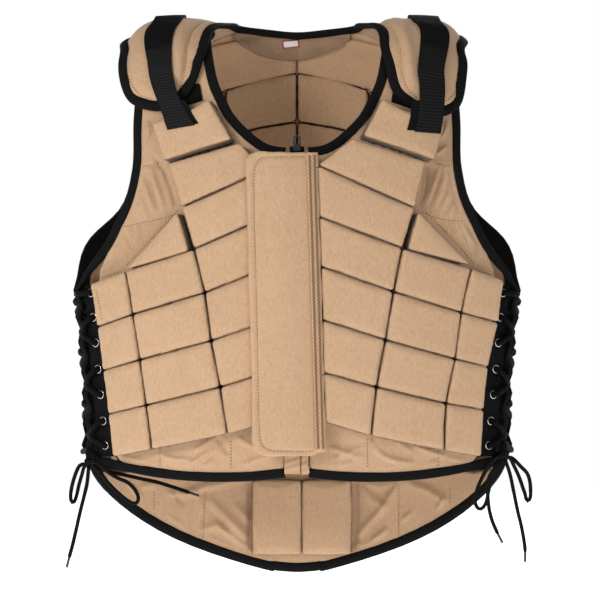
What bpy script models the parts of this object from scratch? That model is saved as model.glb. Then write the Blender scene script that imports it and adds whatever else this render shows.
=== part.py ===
"""Equestrian body protector: a laced, zipped vest of foam blocks in a cloth cover, standing as it is worn.

Metres, +Z up, the front faces -Y and +X is on the right of someone who looks at the front.
The origin lies between the shoulders, at the top of the cloth that bears on them.
"""

import math

import bmesh
import bpy
from mathutils import Vector
from mathutils.geometry import interpolate_bezier

MM = 0.001

# The tables below read sizes in millimetres as they show from this far in front, at this height.
VIEW_DISTANCE = 3.0
VIEW_HEIGHT = -0.308

# Cloth surface: below the spring line it follows the body table, above it arches over the shoulder.
SPRING_Z = -0.105
ARCH_RISE = 0.093
ARCH_LENGTH = 0.145
NAPE_RISE = 0.021
NAPE_REACH = (0.060, 0.115)
SHOULDER_FALL = 0.022
FRONT_RADIUS = 0.400
SIDE_Y = -0.004
BODY = (
    # height, front depth, back depth, half width
    (-640, 94, 104, 233),
    (-500, 99, 98, 229),
    (-420, 104, 94, 228),
    (-350, 109, 98, 233),
    (-290, 112, 104, 239),
    (-200, 111, 110, 238),
    (-105, 97, 102, 232),
)

CLOTH = 3.0 * MM
PAD_THICK = 17.5 * MM
PAD_GAP = 1.2 * MM
GROOVE = 0.9 * MM
PAD_ROUND = 1.7 * MM
SEAM_GAP = 0.5 * MM
RIM_ANGLE = math.radians(50)
SHARP_ANGLE = math.radians(35)

# Rows of the front blocks, top line first: where each row line meets the three block columns' edges.
LEFT_LINES = (
    # inner x, inner z, first seam x, z, second seam x, z, side x, z
    (-63, -134, -143, -157, None, None, None, None),
    (-34, -164, -128, -206, None, None, None, None),
    (-38, -219, -114, -252, -190, -276, -229, -290),
    (-38, -275, -102, -300, -182, -324, -221, -338),
    (-38, -334, -95, -353, -174, -374, -215, -386),
    (-38, -390, -85, -404, -167, -424, -209, -434),
    (-38, -446, -77, -456, -161, -473, -204, -481),
)
RIGHT_LINES = (
    (61, -129, 143, -155, None, None, None, None),
    (22, -159, 131, -207, None, None, None, None),
    (24, -216, 117, -251, 193, -273, 229, -286),
    (26, -271, 107, -299, 182, -322, 223, -333),
    (28, -330, 98, -352, 175, -373, 212, -382),
    (29, -388, 88, -404, 165, -422, 207, -429),
    (31, -443, 82, -458, 163, -474, 204, -481),
)
LEFT_YOKE_PAD = ((-148, -155), (-71, -131), (-97, -86), (-161, -113))
RIGHT_YOKE_PAD = ((153, -154), (72, -127), (94, -85), (164, -115))
LEFT_WEDGE_PAD = ((-190, -275), (-119, -254), (-132, -211), (-136, -214))
RIGHT_WEDGE_PAD = ((193, -270), (122, -252), (134, -211), (138, -214))
SECOND_SEAM_TOP = 2

# Border of each front's cloth, hem first: edge at the zip or the neck, and edge at the side or armhole.
FRONT_ROWS = (
    # inner x, inner z, outer x, outer z, sag of the row's middle
    (14, -493, 192, -486, 7),
    (14, -470, 200, -466, 3),
    (14, -430, 203, -428, 0),
    (14, -385, 208, -385, 0),
    (14, -340, 213, -340, 0),
    (14, -295, 218, -294, 0),
    (14, -258, 209, -258, 0),
    (14, -228, 192, -226, 0),
    (14, -198, 180, -198, 0),
    (14, -170, 173, -170, 0),
    (14, -150, 171, -145, 0),
    (36, -146, 171, -130, 0),
    (57, -132, 171, -114, 0),
    (76, -113, 170, -98, 0),
    (86, -96, 169, -83, 0),
    (95, -77, 168, -67, 0),
    (101, -55, 167, -50, 0),
)
FRONT_SHOULDER_ROWS = (
    # inner x, outer x, share of the arch
    (103, 165, 0.58),
    (102, 164, 0.70),
    (100, 162, 0.81),
)
FRONT_COLUMNS = 7

# Side lacing: the strip that carries the eyelets, from the armhole down.
STRIP_ROWS = (
    # height, inner x, outer x
    (-292, 218.6, 234),
    (-340, 213.6, 230),
    (-385, 208.6, 227),
    (-430, 203.6, 223),
    (-480, 199.0, 219),
)
STRIP_THICK = 2.4 * MM
EYELET_HEIGHTS = (-300, -327, -355, -384, -412, -441, -468)
EYELET_HOLE = 3.6 * MM
LACE_RADIUS = 2.1 * MM
HELD_RADIUS = 1.8 * MM
HELD_SIDES = 6
EYELET_REACH = 5.0 * MM
CROSSING_SHIFT = 2.2 * MM
KNOT_LEAD = 16 * MM
FRONT_EYELET_SHIFT = 1.0
BACK_EYELET_DROP = 4 * MM
BACK_EYELET_SHARE = 0.47
FRONT_REACH = 21.0 * MM
BACK_REACH = 15.5 * MM
LACE_LIFT = 5.9 * MM

BINDING = 10.5 * MM
SIDE_BINDING = 6.0 * MM
BINDING_THICK = 5.2 * MM

# Back: lines between the block rows, tail first; the edge follows the hem, the lacing and the armhole.
STRIP_EDGE = math.radians(76.0)
STRIP_WIDTH = 22 * MM
ARMHOLE_WIDTHS = {9: 18 * MM, 10: 13 * MM}
BACK_ROWS = (
    # centre z, edge z, edge x (None where the edge is the lacing strip)
    (-607, -604, 34),
    (-592, -577, 112),
    (-556, -538, 178),
    (-503, -500, 216),
    (-462, -474, None),
    (-411, -432, None),
    (-360, -388, None),
    (-309, -342, None),
    (-258, -288, None),
    (-207, -250, 218),
    (-156, -214, 187),
    (-105, -165, 173),
)
BACK_ARCH_ROWS = (
    # share of the arch at the centre and at the edge, edge x, x of the outer seam
    (0.28, 0.00, 170, 82),
    (0.37, 0.35, 170, 78),
    (0.55, 0.68, 166, 67),
)
BACK_SEAM = 84
LARGEST_SEAM_SHARE = 0.625
ROW_FALL = 1.4
NECK_FALL = 1.6
BACK_RELIEF = 9.0 * MM
LINING_RELIEF = 6.0 * MM
BLOCK_SLOPE = 2.4 * MM
FIRST_BLOCK_ROW = 3
FIRST_LINING_ROW = 9
LAST_BLOCK_ROW = 12
ARMHOLE_ROW = 8
TAIL_PADS = {"left": (-50.0, 4.5), "right": (5.7, 60.5)}
TAIL_PAD_Z = (-586, -505)
TAIL_PAD_GAP = 1.8 * MM
TAIL_PAD_THICK = 12 * MM

# Shoulder flaps, tip first, as they show in front, and then over the shoulder to the back.
LEFT_FLAP = (
    # height, inner x, outer x
    (-89, -148, -160),
    (-84, -137, -175),
    (-75, -127, -182),
    (-61, -119, -186),
    (-45, -114, -187),
    (-31, -109, -185),
)
RIGHT_FLAP = (
    (-96, 144, 157),
    (-90, 133, 170),
    (-77, 116, 175),
    (-61, 110, 177),
    (-44, 106, 178),
    (-29, 102, 175),
)
LEFT_FLAP_OVER = (
    # inner and outer place over the shoulder (0 at its top, 1 at the back spring line), inner and outer x
    (-0.30, -0.13, 101, 182),
    (-0.12, -0.02, 92, 177),
    (0.03, 0.08, 84, 172),
    (0.17, 0.18, 75, 169),
    (0.313, 0.313, 67, 166),
)
RIGHT_FLAP_OVER = (
    (-0.30, -0.17, 98, 175),
    (-0.12, -0.03, 90, 173),
    (0.03, 0.08, 82, 171),
    (0.17, 0.18, 74, 168),
    (0.313, 0.313, 67, 166),
)
FLAP_SEAT = 4.0 * MM
FLAP_RIM = 3.4 * MM
FLAP_CROWN = 9.8 * MM
FLAP_FULLNESS = 0.33
FLAP_LANDING = 0.75

LEFT_STRAP = (
    # height, edge x, edge x, height above the cloth
    (-124, -146, -121, 20.0),
    (-110, -148, -124, 20.2),
    (-97, -151, -127, 20.0),
    (-79, -157, -132, 18.4),
    (-61, -162, -136, 16.6),
    (-46, -164, -138, 16.8),
)
RIGHT_STRAP = (
    (-123, 132, 158, 20.2),
    (-110, 134, 160, 20.2),
    (-99, 135, 161, 20.0),
    (-84, 135, 162, 18.4),
    (-66, 134, 162, 16.6),
    (-50, 133, 162, 16.8),
)
STRAP_OVER = (
    # place over the shoulder, inner x, outer x, height above the cloth
    (-0.42, 131, 158, 16.2),
    (-0.26, 126, 153, 15.2),
    (-0.12, 123, 151, 15.2),
    (0.02, 122, 150, 14.8),
    (0.16, 122, 149, 13.8),
    (0.30, 122, 148, 11.6),
)
STRAP_THICK = 2.2 * MM
LEFT_ANCHOR = ((-131, -97), (-104, -88), (-107, -70), (-127, -72))
RIGHT_ANCHOR = ((130, -99), (104, -90), (107, -72), (127, -74))
ANCHOR_HEIGHTS = (0.9 * MM, 2.3 * MM)

CENTRE_FLAP_ROWS = (
    # height, left x, right x
    (-480, -32, 17),
    (-476, -43, 23),
    (-464, -49, 29),
    (-400, -50, 27),
    (-300, -53, 24),
    (-200, -55, 21),
    (-158, -56, 19),
    (-149, -52, 17),
    (-145, -42, 12),
)
CENTRE_FLAP_LEFT = 20.4 * MM
CENTRE_FLAP_RIGHT = 12.0 * MM
CENTRE_FLAP_THICK = 5.0 * MM
CENTRE_FLAP_BEND = 0.55

ZIP_ROWS = (
    # height, half width
    (-492, 13.4),
    (-400, 13.4),
    (-300, 13.4),
    (-200, 13.4),
    (-156, 13.4),
    (-150, 9.0),
    (-139, 8.0),
)
ZIP_RISE = 0.5 * MM
ZIP_EDGE_DROP = 1.0 * MM
PULL_Z = (-143, -127)
PULL_HALF = 2.2 * MM
PULL_THICK = 2.0 * MM
PULL_OUT = 1.9 * MM

# Knots, bows and free ends: x and z as they show in front, and the depth y.
KNOTS = {"left": (-229, -487, -47), "right": (228, -480, -47)}
KNOT_RADIUS = 4.7 * MM
KNOT_GAP = 0.35 * MM
KNOT_SHAPE = ((1.1, 0.40), (0.75, 0.75), (0.0, 1.0), (-0.75, 0.75), (-1.0, 0.35))
KNOT_APPROACH = Vector((1, 5, 9)).normalized()
BOW_ROUTES = {
    "left": ((-239, -490, -50), (-244.5, -502, -50), (-248, -515, -49), (-249, -526, -48), (-246.5, -531, -46),
             (-243, -525, -43), (-240, -512, -43), (-236.5, -500, -48), (-233, -490, -55), (-225, -486, -56),
             (-216, -490, -54), (-207, -498, -46), (-197, -504, -37), (-186, -509, -30), (-177.5, -518, -27),
             (-174.5, -527, -26), (-178.5, -532, -24), (-190, -526, -21), (-206, -511, -24), (-217, -498, -34)),
    "right": ((237, -482, -51), (246, -491, -51), (254, -500, -50), (257, -516, -49), (254.5, -529, -47),
              (250.5, -520, -44), (244.5, -503, -43), (239, -491, -49), (233, -481, -55.5), (224, -480, -56),
              (214, -487, -53), (206, -499, -45), (198, -517, -37), (196, -530, -34), (201, -538, -32),
              (207.5, -532, -31), (211, -517, -32), (215, -500, -34), (219, -489, -39)),
}
END_ROUTES = {
    "left_outer": ((-229.5, -496, -46), (-231, -510, -44), (-234, -523, -42), (-238.5, -541, -41),
                   (-243, -561, -41), (-247, -578, -42), (-250, -589, -43), (-253, -601, -43)),
    "left_inner": ((-227, -486, -37), (-221, -492, -27), (-206, -497, -23), (-188, -501, -24),
                   (-170, -505, -27), (-152, -509, -30), (-130, -516, -33), (-109, -523, -35)),
    "right_outer": ((231, -489, -45), (234.5, -500, -43), (238.5, -519, -41), (243, -541, -40),
                    (246.5, -555, -40), (249.5, -571, -41), (251, -583, -42), (251, -595, -43)),
    "right_inner": ((223, -490, -51), (214, -498, -54), (210, -508, -55), (210, -524, -54),
                    (211.5, -538, -52), (214.5, -550, -50), (219, -561, -49), (225.5, -574, -48)),
}
AGLET_SHARE = 0.12
AGLET_RADIUS = 0.55

COLOURS = {
    "cloth": (0.60, 0.39, 0.23, 1),
    "black": (0.012, 0.012, 0.013, 1),
    "zip": (0.45, 0.29, 0.17, 1),
}


def clear_scene():
    for item in list(bpy.data.objects):
        bpy.data.objects.remove(item)


def material(name, roughness=0.85, metallic=0.0):
    found = bpy.data.materials.get(name)
    if found:
        return found
    made = bpy.data.materials.new(name)
    made.use_nodes = True
    shader = made.node_tree.nodes["Principled BSDF"]
    shader.inputs["Base Color"].default_value = COLOURS[name]
    shader.inputs["Roughness"].default_value = roughness
    shader.inputs["Metallic"].default_value = metallic
    return made


def finish(name, bm, material_name):
    """The bmesh as an object whose faces point outwards."""
    bmesh.ops.remove_doubles(bm, verts=bm.verts, dist=1e-6)
    bmesh.ops.recalc_face_normals(bm, faces=bm.faces)
    mesh = bpy.data.meshes.new(name)
    bm.to_mesh(mesh)
    bm.free()
    mesh.shade_smooth()
    mesh.set_sharp_from_angle(angle=SHARP_ANGLE)
    mesh.materials.append(material(material_name))
    item = bpy.data.objects.new(name, mesh)
    bpy.context.scene.collection.objects.link(item)
    return item


def smooth(low, high, value):
    share = min(1.0, max(0.0, (value - low) / (high - low)))
    return share * share * (3 - 2 * share)


def curve_through(values, share):
    """A smooth curve through evenly numbered values, read at a fractional number."""
    last = len(values) - 1
    i = min(last - 1, max(0, int(share)))
    t = share - i
    a, b, c, d = (values[min(last, max(0, k))] for k in (i - 1, i, i + 1, i + 2))
    return 0.5 * (2 * b + (c - a) * t + (2 * a - 5 * b + 4 * c - d) * t * t + (3 * b - a - 3 * c + d) * t ** 3)


def body_at(z):
    """Front depth, back depth and half width of the cloth at a height."""
    heights = [row[0] * MM for row in BODY]
    z = min(heights[-1], max(heights[0], z))
    i = max(k for k in range(len(heights) - 1) if heights[k] <= z)
    share = i + (z - heights[i]) / (heights[i + 1] - heights[i])
    return [curve_through([row[k] * MM for row in BODY], share) for k in (1, 2, 3)]


def rise_at(x):
    return ARCH_RISE - SHOULDER_FALL * smooth(0.145, 0.200, abs(x))


def arch(x, path, back):
    """Height and depth share of a path length: below the spring line it's negative."""
    if path <= 0:
        return SPRING_Z + path, 1.0
    turn = path / ARCH_LENGTH * math.pi / 2
    nape = NAPE_RISE * (1 - smooth(*NAPE_REACH, abs(x))) if back else 0.0
    return SPRING_Z + rise_at(x) * math.sin(turn) + nape * math.sin(2 * turn), math.cos(turn)


def front_point(x, path):
    z, share = arch(x, path, False)
    front = body_at(z)[0]
    drop = FRONT_RADIUS - math.sqrt(FRONT_RADIUS ** 2 - x * x)
    return Vector((x, -(front - drop) * share, z))


def back_point(turn, path):
    half = body_at(SPRING_Z + min(0, path))[2]
    x = half * math.sin(turn)
    z, share = arch(x, path, True)
    back = body_at(z)[1]
    return Vector((x, (SIDE_Y + (back - SIDE_Y) * math.cos(turn)) * share, z))


def lifted(surface, u, path, height):
    """A point this high above the cloth, and the outward normal there."""
    step = 0.5 * MM
    across = surface(u + step, path) - surface(u - step, path)
    along = surface(u, path + step) - surface(u, path - step)
    out = across.cross(along).normalized()
    if surface is back_point:
        out = -out
    return surface(u, path) + out * height, out


def over_point(x, place):
    """A point over the shoulder: place runs from -1 at the front spring line to 1 at the back one."""
    if place <= 0:
        return front_point(x, ARCH_LENGTH * (1 + place))
    half = body_at(SPRING_Z)[2]
    return back_point(math.asin(x / half), ARCH_LENGTH * (1 - place))


def over_lifted(x, place, height):
    step = 0.01
    across = over_point(x + 0.001, place) - over_point(x - 0.001, place)
    along = over_point(x, place + step) - over_point(x, place - step)
    out = across.cross(along).normalized()
    return over_point(x, place) + out * height


def as_seen(view_x, view_z, y):
    """The real x and z of what shows at this place when it lies at depth y."""
    scale = 1 + y / VIEW_DISTANCE
    return view_x * MM * scale, VIEW_HEIGHT + (view_z * MM - VIEW_HEIGHT) * scale


def path_of(x, z):
    if z <= SPRING_Z:
        return z - SPRING_Z
    return ARCH_LENGTH * math.asin(min(0.995, (z - SPRING_Z) / rise_at(x))) / (math.pi / 2)


def front_spot(view_x, view_z, height=0.0):
    """The place on the front's cloth whose point at this height shows at the view place."""
    x, z = view_x * MM, view_z * MM
    for _ in range(14):
        point, _ = lifted(front_point, x, path_of(x, z), height)
        real_x, real_z = as_seen(view_x, view_z, point.y)
        x += real_x - point.x
        z += (real_z - point.z) * 0.8
    return x, path_of(x, z)


def back_spot(view_x, view_z, height=0.0):
    x, z = view_x * MM, view_z * MM
    for _ in range(14):
        half = body_at(z)[2]
        turn = math.asin(max(-0.999, min(0.999, x / half)))
        point, _ = lifted(back_point, turn, path_of(x, z), height)
        real_x, real_z = as_seen(view_x, view_z, point.y)
        x += real_x - point.x
        z += (real_z - point.z) * 0.8
    return math.asin(max(-0.999, min(0.999, x / body_at(z)[2]))), path_of(x, z)


def slab(rows, place, top, bottom):
    """A closed wall over a grid of places, from one height to another; place(spot, height) gives the point."""
    bm = bmesh.new()
    columns = len(rows[0])
    bmesh.ops.create_grid(bm, x_segments=columns - 1, y_segments=len(rows) - 1, size=1)
    bm.verts.ensure_lookup_table()
    spots = {}
    for vert in bm.verts:
        column = round((vert.co.x + 1) / 2 * (columns - 1))
        row = round((vert.co.y + 1) / 2 * (len(rows) - 1))
        spots[vert.index] = (column / (columns - 1), row / (len(rows) - 1), rows[row][column])
    made = bmesh.ops.extrude_face_region(bm, geom=list(bm.faces), use_keep_orig=True)
    lower = [item for item in made["geom"] if isinstance(item, bmesh.types.BMVert)]
    pairs = {tuple(round(c, 5) for c in vert.co): vert for vert in lower}
    bm.verts.ensure_lookup_table()
    for index, (across, along, spot) in spots.items():
        upper = bm.verts[index]
        under = pairs[tuple(round(c, 5) for c in upper.co)]
        under.co = place(spot, bottom(across, along) if callable(bottom) else bottom)
        upper.co = place(spot, top(across, along) if callable(top) else top)
    return bm


def on_front(spot, height):
    return lifted(front_point, spot[0], spot[1], height)[0]


def on_back(spot, height):
    return lifted(back_point, spot[0], spot[1], height)[0]


def on_shoulder(spot, height):
    return over_lifted(spot[0], spot[1], height)


def between(a, b, share):
    return tuple(p + (q - p) * share for p, q in zip(a, b))


def pad(name, corners, across=2, along=1):
    """A foam block: corners run along the lower edge, then back along the upper one, as seen on its face."""
    spots = [front_spot(x, z, PAD_THICK + PAD_GAP) for x, z in corners]
    lower_left, lower_right, upper_right, upper_left = spots
    width = (on_front(lower_right, 0) - on_front(lower_left, 0)).length
    height = (on_front(upper_left, 0) - on_front(lower_left, 0)).length
    u_gap = GROOVE / 2 / width
    v_gap = GROOVE / 2 / height
    rows = []
    for j in range(along + 1):
        v = v_gap + (1 - 2 * v_gap) * j / along
        row = []
        for i in range(across + 1):
            u = u_gap + (1 - 2 * u_gap) * i / across
            row.append(between(between(lower_left, lower_right, u), between(upper_left, upper_right, u), v))
        rows.append(row)
    bm = slab(rows, on_front, PAD_GAP + PAD_THICK, PAD_GAP)
    centre = sum((v.co for v in bm.verts), Vector()) / len(bm.verts)
    out = lifted(front_point, *between(lower_left, upper_right, 0.5), 0)[1]
    bmesh.ops.recalc_face_normals(bm, faces=bm.faces)
    rim = [e for e in bm.edges if len(e.link_faces) == 2 and e.calc_face_angle() > RIM_ANGLE
           and sum((v.co - centre).dot(out) for v in e.verts) > -0.5 * PAD_THICK]
    bmesh.ops.bevel(bm, geom=rim, offset=PAD_ROUND, offset_type="OFFSET", segments=1, profile=0.5,
                    affect="EDGES", material=-1, clamp_overlap=True)
    return finish(name, bm, "cloth")


def front_pads(side, lines, yoke, wedge):
    """Sixteen blocks: seven down the middle, a wedge and four beside them, and four at the side."""
    columns = {"inner": (0, 2), "mid": (2, 4), "side": (4, 6)}
    pad(f"pad_{side}_yoke", yoke, 3, 2)
    pad(f"pad_{side}_wedge", wedge)
    for column, (first, second) in columns.items():
        top = 0 if column == "inner" else SECOND_SEAM_TOP
        for number, k in enumerate(range(top, len(lines) - 1), 1):
            above, below = lines[k], lines[k + 1]
            corners = (below[first:first + 2], below[second:second + 2],
                       above[second:second + 2], above[first:first + 2])
            pad(f"pad_{side}_{column}_{number}", corners, along=2 if k < 2 else 1)


def front_cloth_rows(sign):
    rows = []
    for inner_x, inner_z, outer_x, outer_z, sag in FRONT_ROWS:
        inner = front_spot(sign * inner_x, inner_z)
        outer = front_spot(sign * outer_x, outer_z)
        row = []
        for i in range(FRONT_COLUMNS):
            share = i / (FRONT_COLUMNS - 1)
            x, path = between(inner, outer, share)
            row.append((x, path - sag * MM * 4 * share * (1 - share)))
        rows.append(row)
    for inner_x, outer_x, share in FRONT_SHOULDER_ROWS:
        inner = (sign * inner_x * MM, share * ARCH_LENGTH)
        outer = (sign * outer_x * MM, share * ARCH_LENGTH)
        rows.append([between(inner, outer, i / (FRONT_COLUMNS - 1)) for i in range(FRONT_COLUMNS)])
    return rows


def front_cloth(side, sign):
    return finish(f"front_{side}", slab(front_cloth_rows(sign), on_front, 0.0, -CLOTH), "cloth")


def strip_spots(sign, share):
    """The strip's places at a share of its width, from the armhole down."""
    return [front_spot(sign * (a + (b - a) * share), z) for z, a, b in STRIP_ROWS]


def eyelet_cutter(name, centres):
    bm = bmesh.new()
    for point, out in centres:
        turn = out.to_track_quat("Z", "Y").to_matrix().to_4x4()
        turn.translation = point
        bmesh.ops.create_cone(bm, cap_ends=True, segments=8, radius1=EYELET_HOLE, radius2=EYELET_HOLE,
                              depth=0.03, matrix=turn)
    cutter = finish(name, bm, "black")
    cutter.hide_render = True
    cutter.display_type = "WIRE"
    return cutter


def front_eyelets(sign):
    """Where each eyelet of a front strip sits, and which way it faces."""
    found = []
    for z in EYELET_HEIGHTS:
        k = max(i for i in range(len(STRIP_ROWS) - 1) if STRIP_ROWS[i][0] >= z)
        (za, ia, oa), (zb, ib, ob) = STRIP_ROWS[k], STRIP_ROWS[k + 1]
        share = (z - za) / (zb - za)
        middle = (ia + (ib - ia) * share + oa + (ob - oa) * share) / 2 + FRONT_EYELET_SHIFT
        spot = front_spot(sign * middle, z)
        found.append(lifted(front_point, *spot, -STRIP_THICK / 2))
    return found


def back_eyelets(sign):
    found = []
    for z in EYELET_HEIGHTS:
        path = z * MM - BACK_EYELET_DROP - SPRING_Z
        point, out = lifted(back_point, sign * STRIP_EDGE, path, -CLOTH / 2)
        across = (back_point(sign * (STRIP_EDGE + 0.01), path) - back_point(sign * STRIP_EDGE, path)).normalized()
        found.append((point + across * STRIP_WIDTH * BACK_EYELET_SHARE, out))
    return found


def cut(item, cutter):
    hole = item.modifiers.new("eyelets", "BOOLEAN")
    hole.object = cutter
    hole.operation = "DIFFERENCE"
    hole.solver = "EXACT"


def front_strip(side, sign):
    inner, outer = strip_spots(sign, 0.0), strip_spots(sign, 1.0)
    rows = [[between(a, b, i / 2) for i in range(3)] for a, b in zip(inner, outer)]
    strip = finish(f"lacing_strip_{side}", slab(rows, on_front, 0.0, -STRIP_THICK), "black")
    cut(strip, eyelet_cutter(f"front_eyelets_{side}", front_eyelets(sign)))


def sweep(route, section, closed):
    """A band along a route of (point, outward normal, away-from-the-cloth direction, width)."""
    bm = bmesh.new()
    rings = []
    for point, out, away, width in route:
        ring = [bm.verts.new(point + away * (a * width) + out * h) for a, h in section]
        rings.append(ring)
    pairs = list(zip(rings, rings[1:] + rings[:1])) if closed else list(zip(rings, rings[1:]))
    for first, second in pairs:
        for k in range(len(section)):
            bm.faces.new((first[k], first[k - 1], second[k - 1], second[k]))
    if not closed:
        bm.faces.new(rings[0])
        bm.faces.new(list(reversed(rings[-1])))
    return bm


def binding_section():
    low = -CLOTH / 2 - BINDING_THICK / 2
    high = -CLOTH / 2 + BINDING_THICK / 2
    seam = SEAM_GAP / BINDING
    return ((seam, high), (0.80, high), (1.0, -CLOTH / 2), (0.80, low), (seam, low))


def border_route(spots, widths, inside):
    """Route frames along a front's border; inside is a point on the cloth's side of it."""
    lifts = [lifted(front_point, u, path, 0.0) for u, path in spots]
    count = len(lifts)
    route = []
    for i, (point, out) in enumerate(lifts):
        before = lifts[max(0, i - 1)][0]
        after = lifts[min(count - 1, i + 1)][0]
        away = (after - before).cross(out).normalized()
        route.append([point, out, away, widths[i]])
    middle = count // 2
    if (inside - route[middle][0]).dot(route[middle][2]) > 0:
        for step in route:
            step[2] = -step[2]
    return route


def front_binding(side, sign):
    """One tape round each front: neck, shoulder end, armhole, lacing strip, hem."""
    rows = front_cloth_rows(sign)
    neck = [row[0] for row in rows[10:]]
    top = [rows[-1][i] for i in range(1, FRONT_COLUMNS - 1)]
    armhole = [row[-1] for row in reversed(rows[6:])]
    strip = strip_spots(sign, 1.0)
    hem = [rows[0][i] for i in range(FRONT_COLUMNS - 1, -1, -1)]
    spots = neck + top + armhole + strip + hem
    narrow = len(neck) + len(top) + len(armhole)
    widths = [BINDING] * len(spots)
    for i in range(narrow, narrow + len(strip)):
        widths[i] = SIDE_BINDING
    inside = on_front(rows[8][4], 0)
    route = border_route(spots, widths, inside)
    finish(f"binding_{side}", sweep(route, binding_section(), False), "black")


def back_grid():
    """Rows of places on the back, tail first, aligned with the seams between the blocks."""
    rows = []
    for centre_z, edge_z, edge_x in BACK_ROWS:
        edge = back_spot(edge_x, edge_z)[0] if edge_x else STRIP_EDGE
        rows.append(back_row(edge, centre_z * MM - SPRING_Z, edge_z * MM - SPRING_Z))
    for centre, outer, edge_x, seam_x in BACK_ARCH_ROWS:
        edge = math.asin(edge_x * MM / body_at(SPRING_Z)[2])
        rows.append(back_row(edge, centre * ARCH_LENGTH, outer * ARCH_LENGTH, seam_x))
    neck, outer = BACK_ARCH_ROWS[-1][0] * ARCH_LENGTH, BACK_ARCH_ROWS[-1][1] * ARCH_LENGTH
    corner = rows[-1][7][0]
    rows[-1] = [(turn, neck + (outer - neck) * min(1, abs(turn) / corner) ** NECK_FALL) for turn, _ in rows[-1]]
    return rows


def back_row(edge, centre_path, edge_path, seam_x=BACK_SEAM):
    """Eleven places across: the middle, two seam turns each way, two in the outer part and the edge."""
    far = min(math.asin(seam_x * MM / body_at(SPRING_Z)[2]), edge * LARGEST_SEAM_SHARE)
    turns = (0.0, far / 2, far, far + (edge - far) / 3, far + (edge - far) * 2 / 3, edge)
    places = [(turn, centre_path + (edge_path - centre_path) * (turn / edge) ** ROW_FALL) for turn in turns]
    return [(-turn, path) for turn, path in reversed(places[1:])] + places


def face_between(bm, rows, j, i, height):
    spots = (rows[j][i], rows[j][i + 1], rows[j + 1][i + 1], rows[j + 1][i])
    middle = sum((on_back(spot, height) for spot in spots), Vector()) / 4
    return min(bm.faces, key=lambda f: (f.calc_center_median() - middle).length)


def back_panel():
    """The back shell: cloth, with the foam blocks standing out of both of its faces."""
    rows = back_grid()
    bm = slab(rows, on_back, 0.0, -CLOTH)
    bmesh.ops.recalc_face_normals(bm, faces=bm.faces)
    blocks = []
    for j in range(FIRST_BLOCK_ROW, LAST_BLOCK_ROW + 1):
        groups = [(1, 2), (3, 4), (5, 6), (7, 8)]
        if j < ARMHOLE_ROW:
            groups += [(0,), (9,)]
        for group in groups:
            blocks.append((BACK_RELIEF, [face_between(bm, rows, j, i, 0.0) for i in group]))
            if j >= FIRST_LINING_ROW:
                blocks.append((LINING_RELIEF, [face_between(bm, rows, j, i, -CLOTH) for i in group]))
    for relief, faces in blocks:
        bmesh.ops.inset_region(bm, faces=faces, thickness=BLOCK_SLOPE, depth=relief, use_even_offset=True)
    finish("back", bm, "cloth")


def flap_base(along):
    return FLAP_SEAT - (FLAP_SEAT + CLOTH) * smooth(FLAP_LANDING, 1.0, along)


def flap_height(across, along):
    crown = (math.sin(math.pi * across) * math.sin(math.pi * along)) ** FLAP_FULLNESS
    return flap_base(along) + FLAP_RIM + (FLAP_CROWN - FLAP_RIM) * crown


def over_spot(view_x, view_z, height):
    x, path = front_spot(view_x, view_z, height)
    return x, path / ARCH_LENGTH - 1


def over_rows(seen, over, sign, height, columns):
    """Rows of places over one shoulder, from the table seen in front and the table over the top."""
    rows = []
    for z, a, b in seen:
        first, last = over_spot(a, z, height), over_spot(b, z, height)
        rows.append([between(first, last, i / (columns - 1)) for i in range(columns)])
    for near, far, a, b in over:
        first, last = (sign * a * MM, near), (sign * b * MM, far)
        rows.append([between(first, last, i / (columns - 1)) for i in range(columns)])
    return rows


def flap_rows(sign):
    seen, over = (LEFT_FLAP, LEFT_FLAP_OVER) if sign < 0 else (RIGHT_FLAP, RIGHT_FLAP_OVER)
    return over_rows(seen, over, sign, FLAP_SEAT + FLAP_RIM / 2, 7)


def shoulder_flap(side, sign):
    def base(_, along):
        return flap_base(along)

    finish(f"shoulder_flap_{side}", slab(flap_rows(sign), on_shoulder, flap_height, base), "cloth")


def flap_border(sign, outer):
    """Frames along one edge of a flap, tip first."""
    rows = flap_rows(sign)
    frames = []
    for j, row in enumerate(rows[:-1]):
        x, place = row[-1 if outer else 0]
        middle = flap_base(j / (len(rows) - 1)) + FLAP_RIM / 2 + CLOTH / 2
        base = over_lifted(x, place, middle)
        out = (over_lifted(x, place, middle + MM) - base).normalized()
        frames.append((base, out))
    return frames


def back_binding():
    """One closed tape round the back and both shoulder flaps, wide where the eyelets are."""
    rows = back_grid()
    frames = []
    widths = {}
    for j, row in enumerate(rows):
        for spot in (row[0], row[-1]):
            on_strip = abs(abs(spot[0]) - STRIP_EDGE) < 1e-6
            widths[spot] = STRIP_WIDTH if on_strip else ARMHOLE_WIDTHS.get(j, BINDING)

    def on_border(spots):
        for spot in spots:
            point, out = lifted(back_point, *spot, 0.0)
            frames.append([point, out, None, widths.get(spot, BINDING)])

    def on_flap(found):
        for point, out in found:
            frames.append([point, out, None, BINDING])

    on_border(rows[0][2:-2])
    on_border([row[-1] for row in rows])
    on_flap(reversed(flap_border(1, True)))
    on_flap(flap_border(1, False))
    on_border(list(reversed(rows[-1][3:-3])))
    on_flap(reversed(flap_border(-1, False)))
    on_flap(flap_border(-1, True))
    on_border([row[0] for row in reversed(rows)])
    for i, step in enumerate(frames):
        before, after = frames[i - 1][0], frames[(i + 1) % len(frames)][0]
        step[2] = step[1].cross(after - before).normalized()
    edging = finish("back_edging", sweep(frames, binding_section(), True), "black")
    cut(edging, eyelet_cutter("back_eyelets_left", back_eyelets(-1)))
    cut(edging, eyelet_cutter("back_eyelets_right", back_eyelets(1)))


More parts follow.
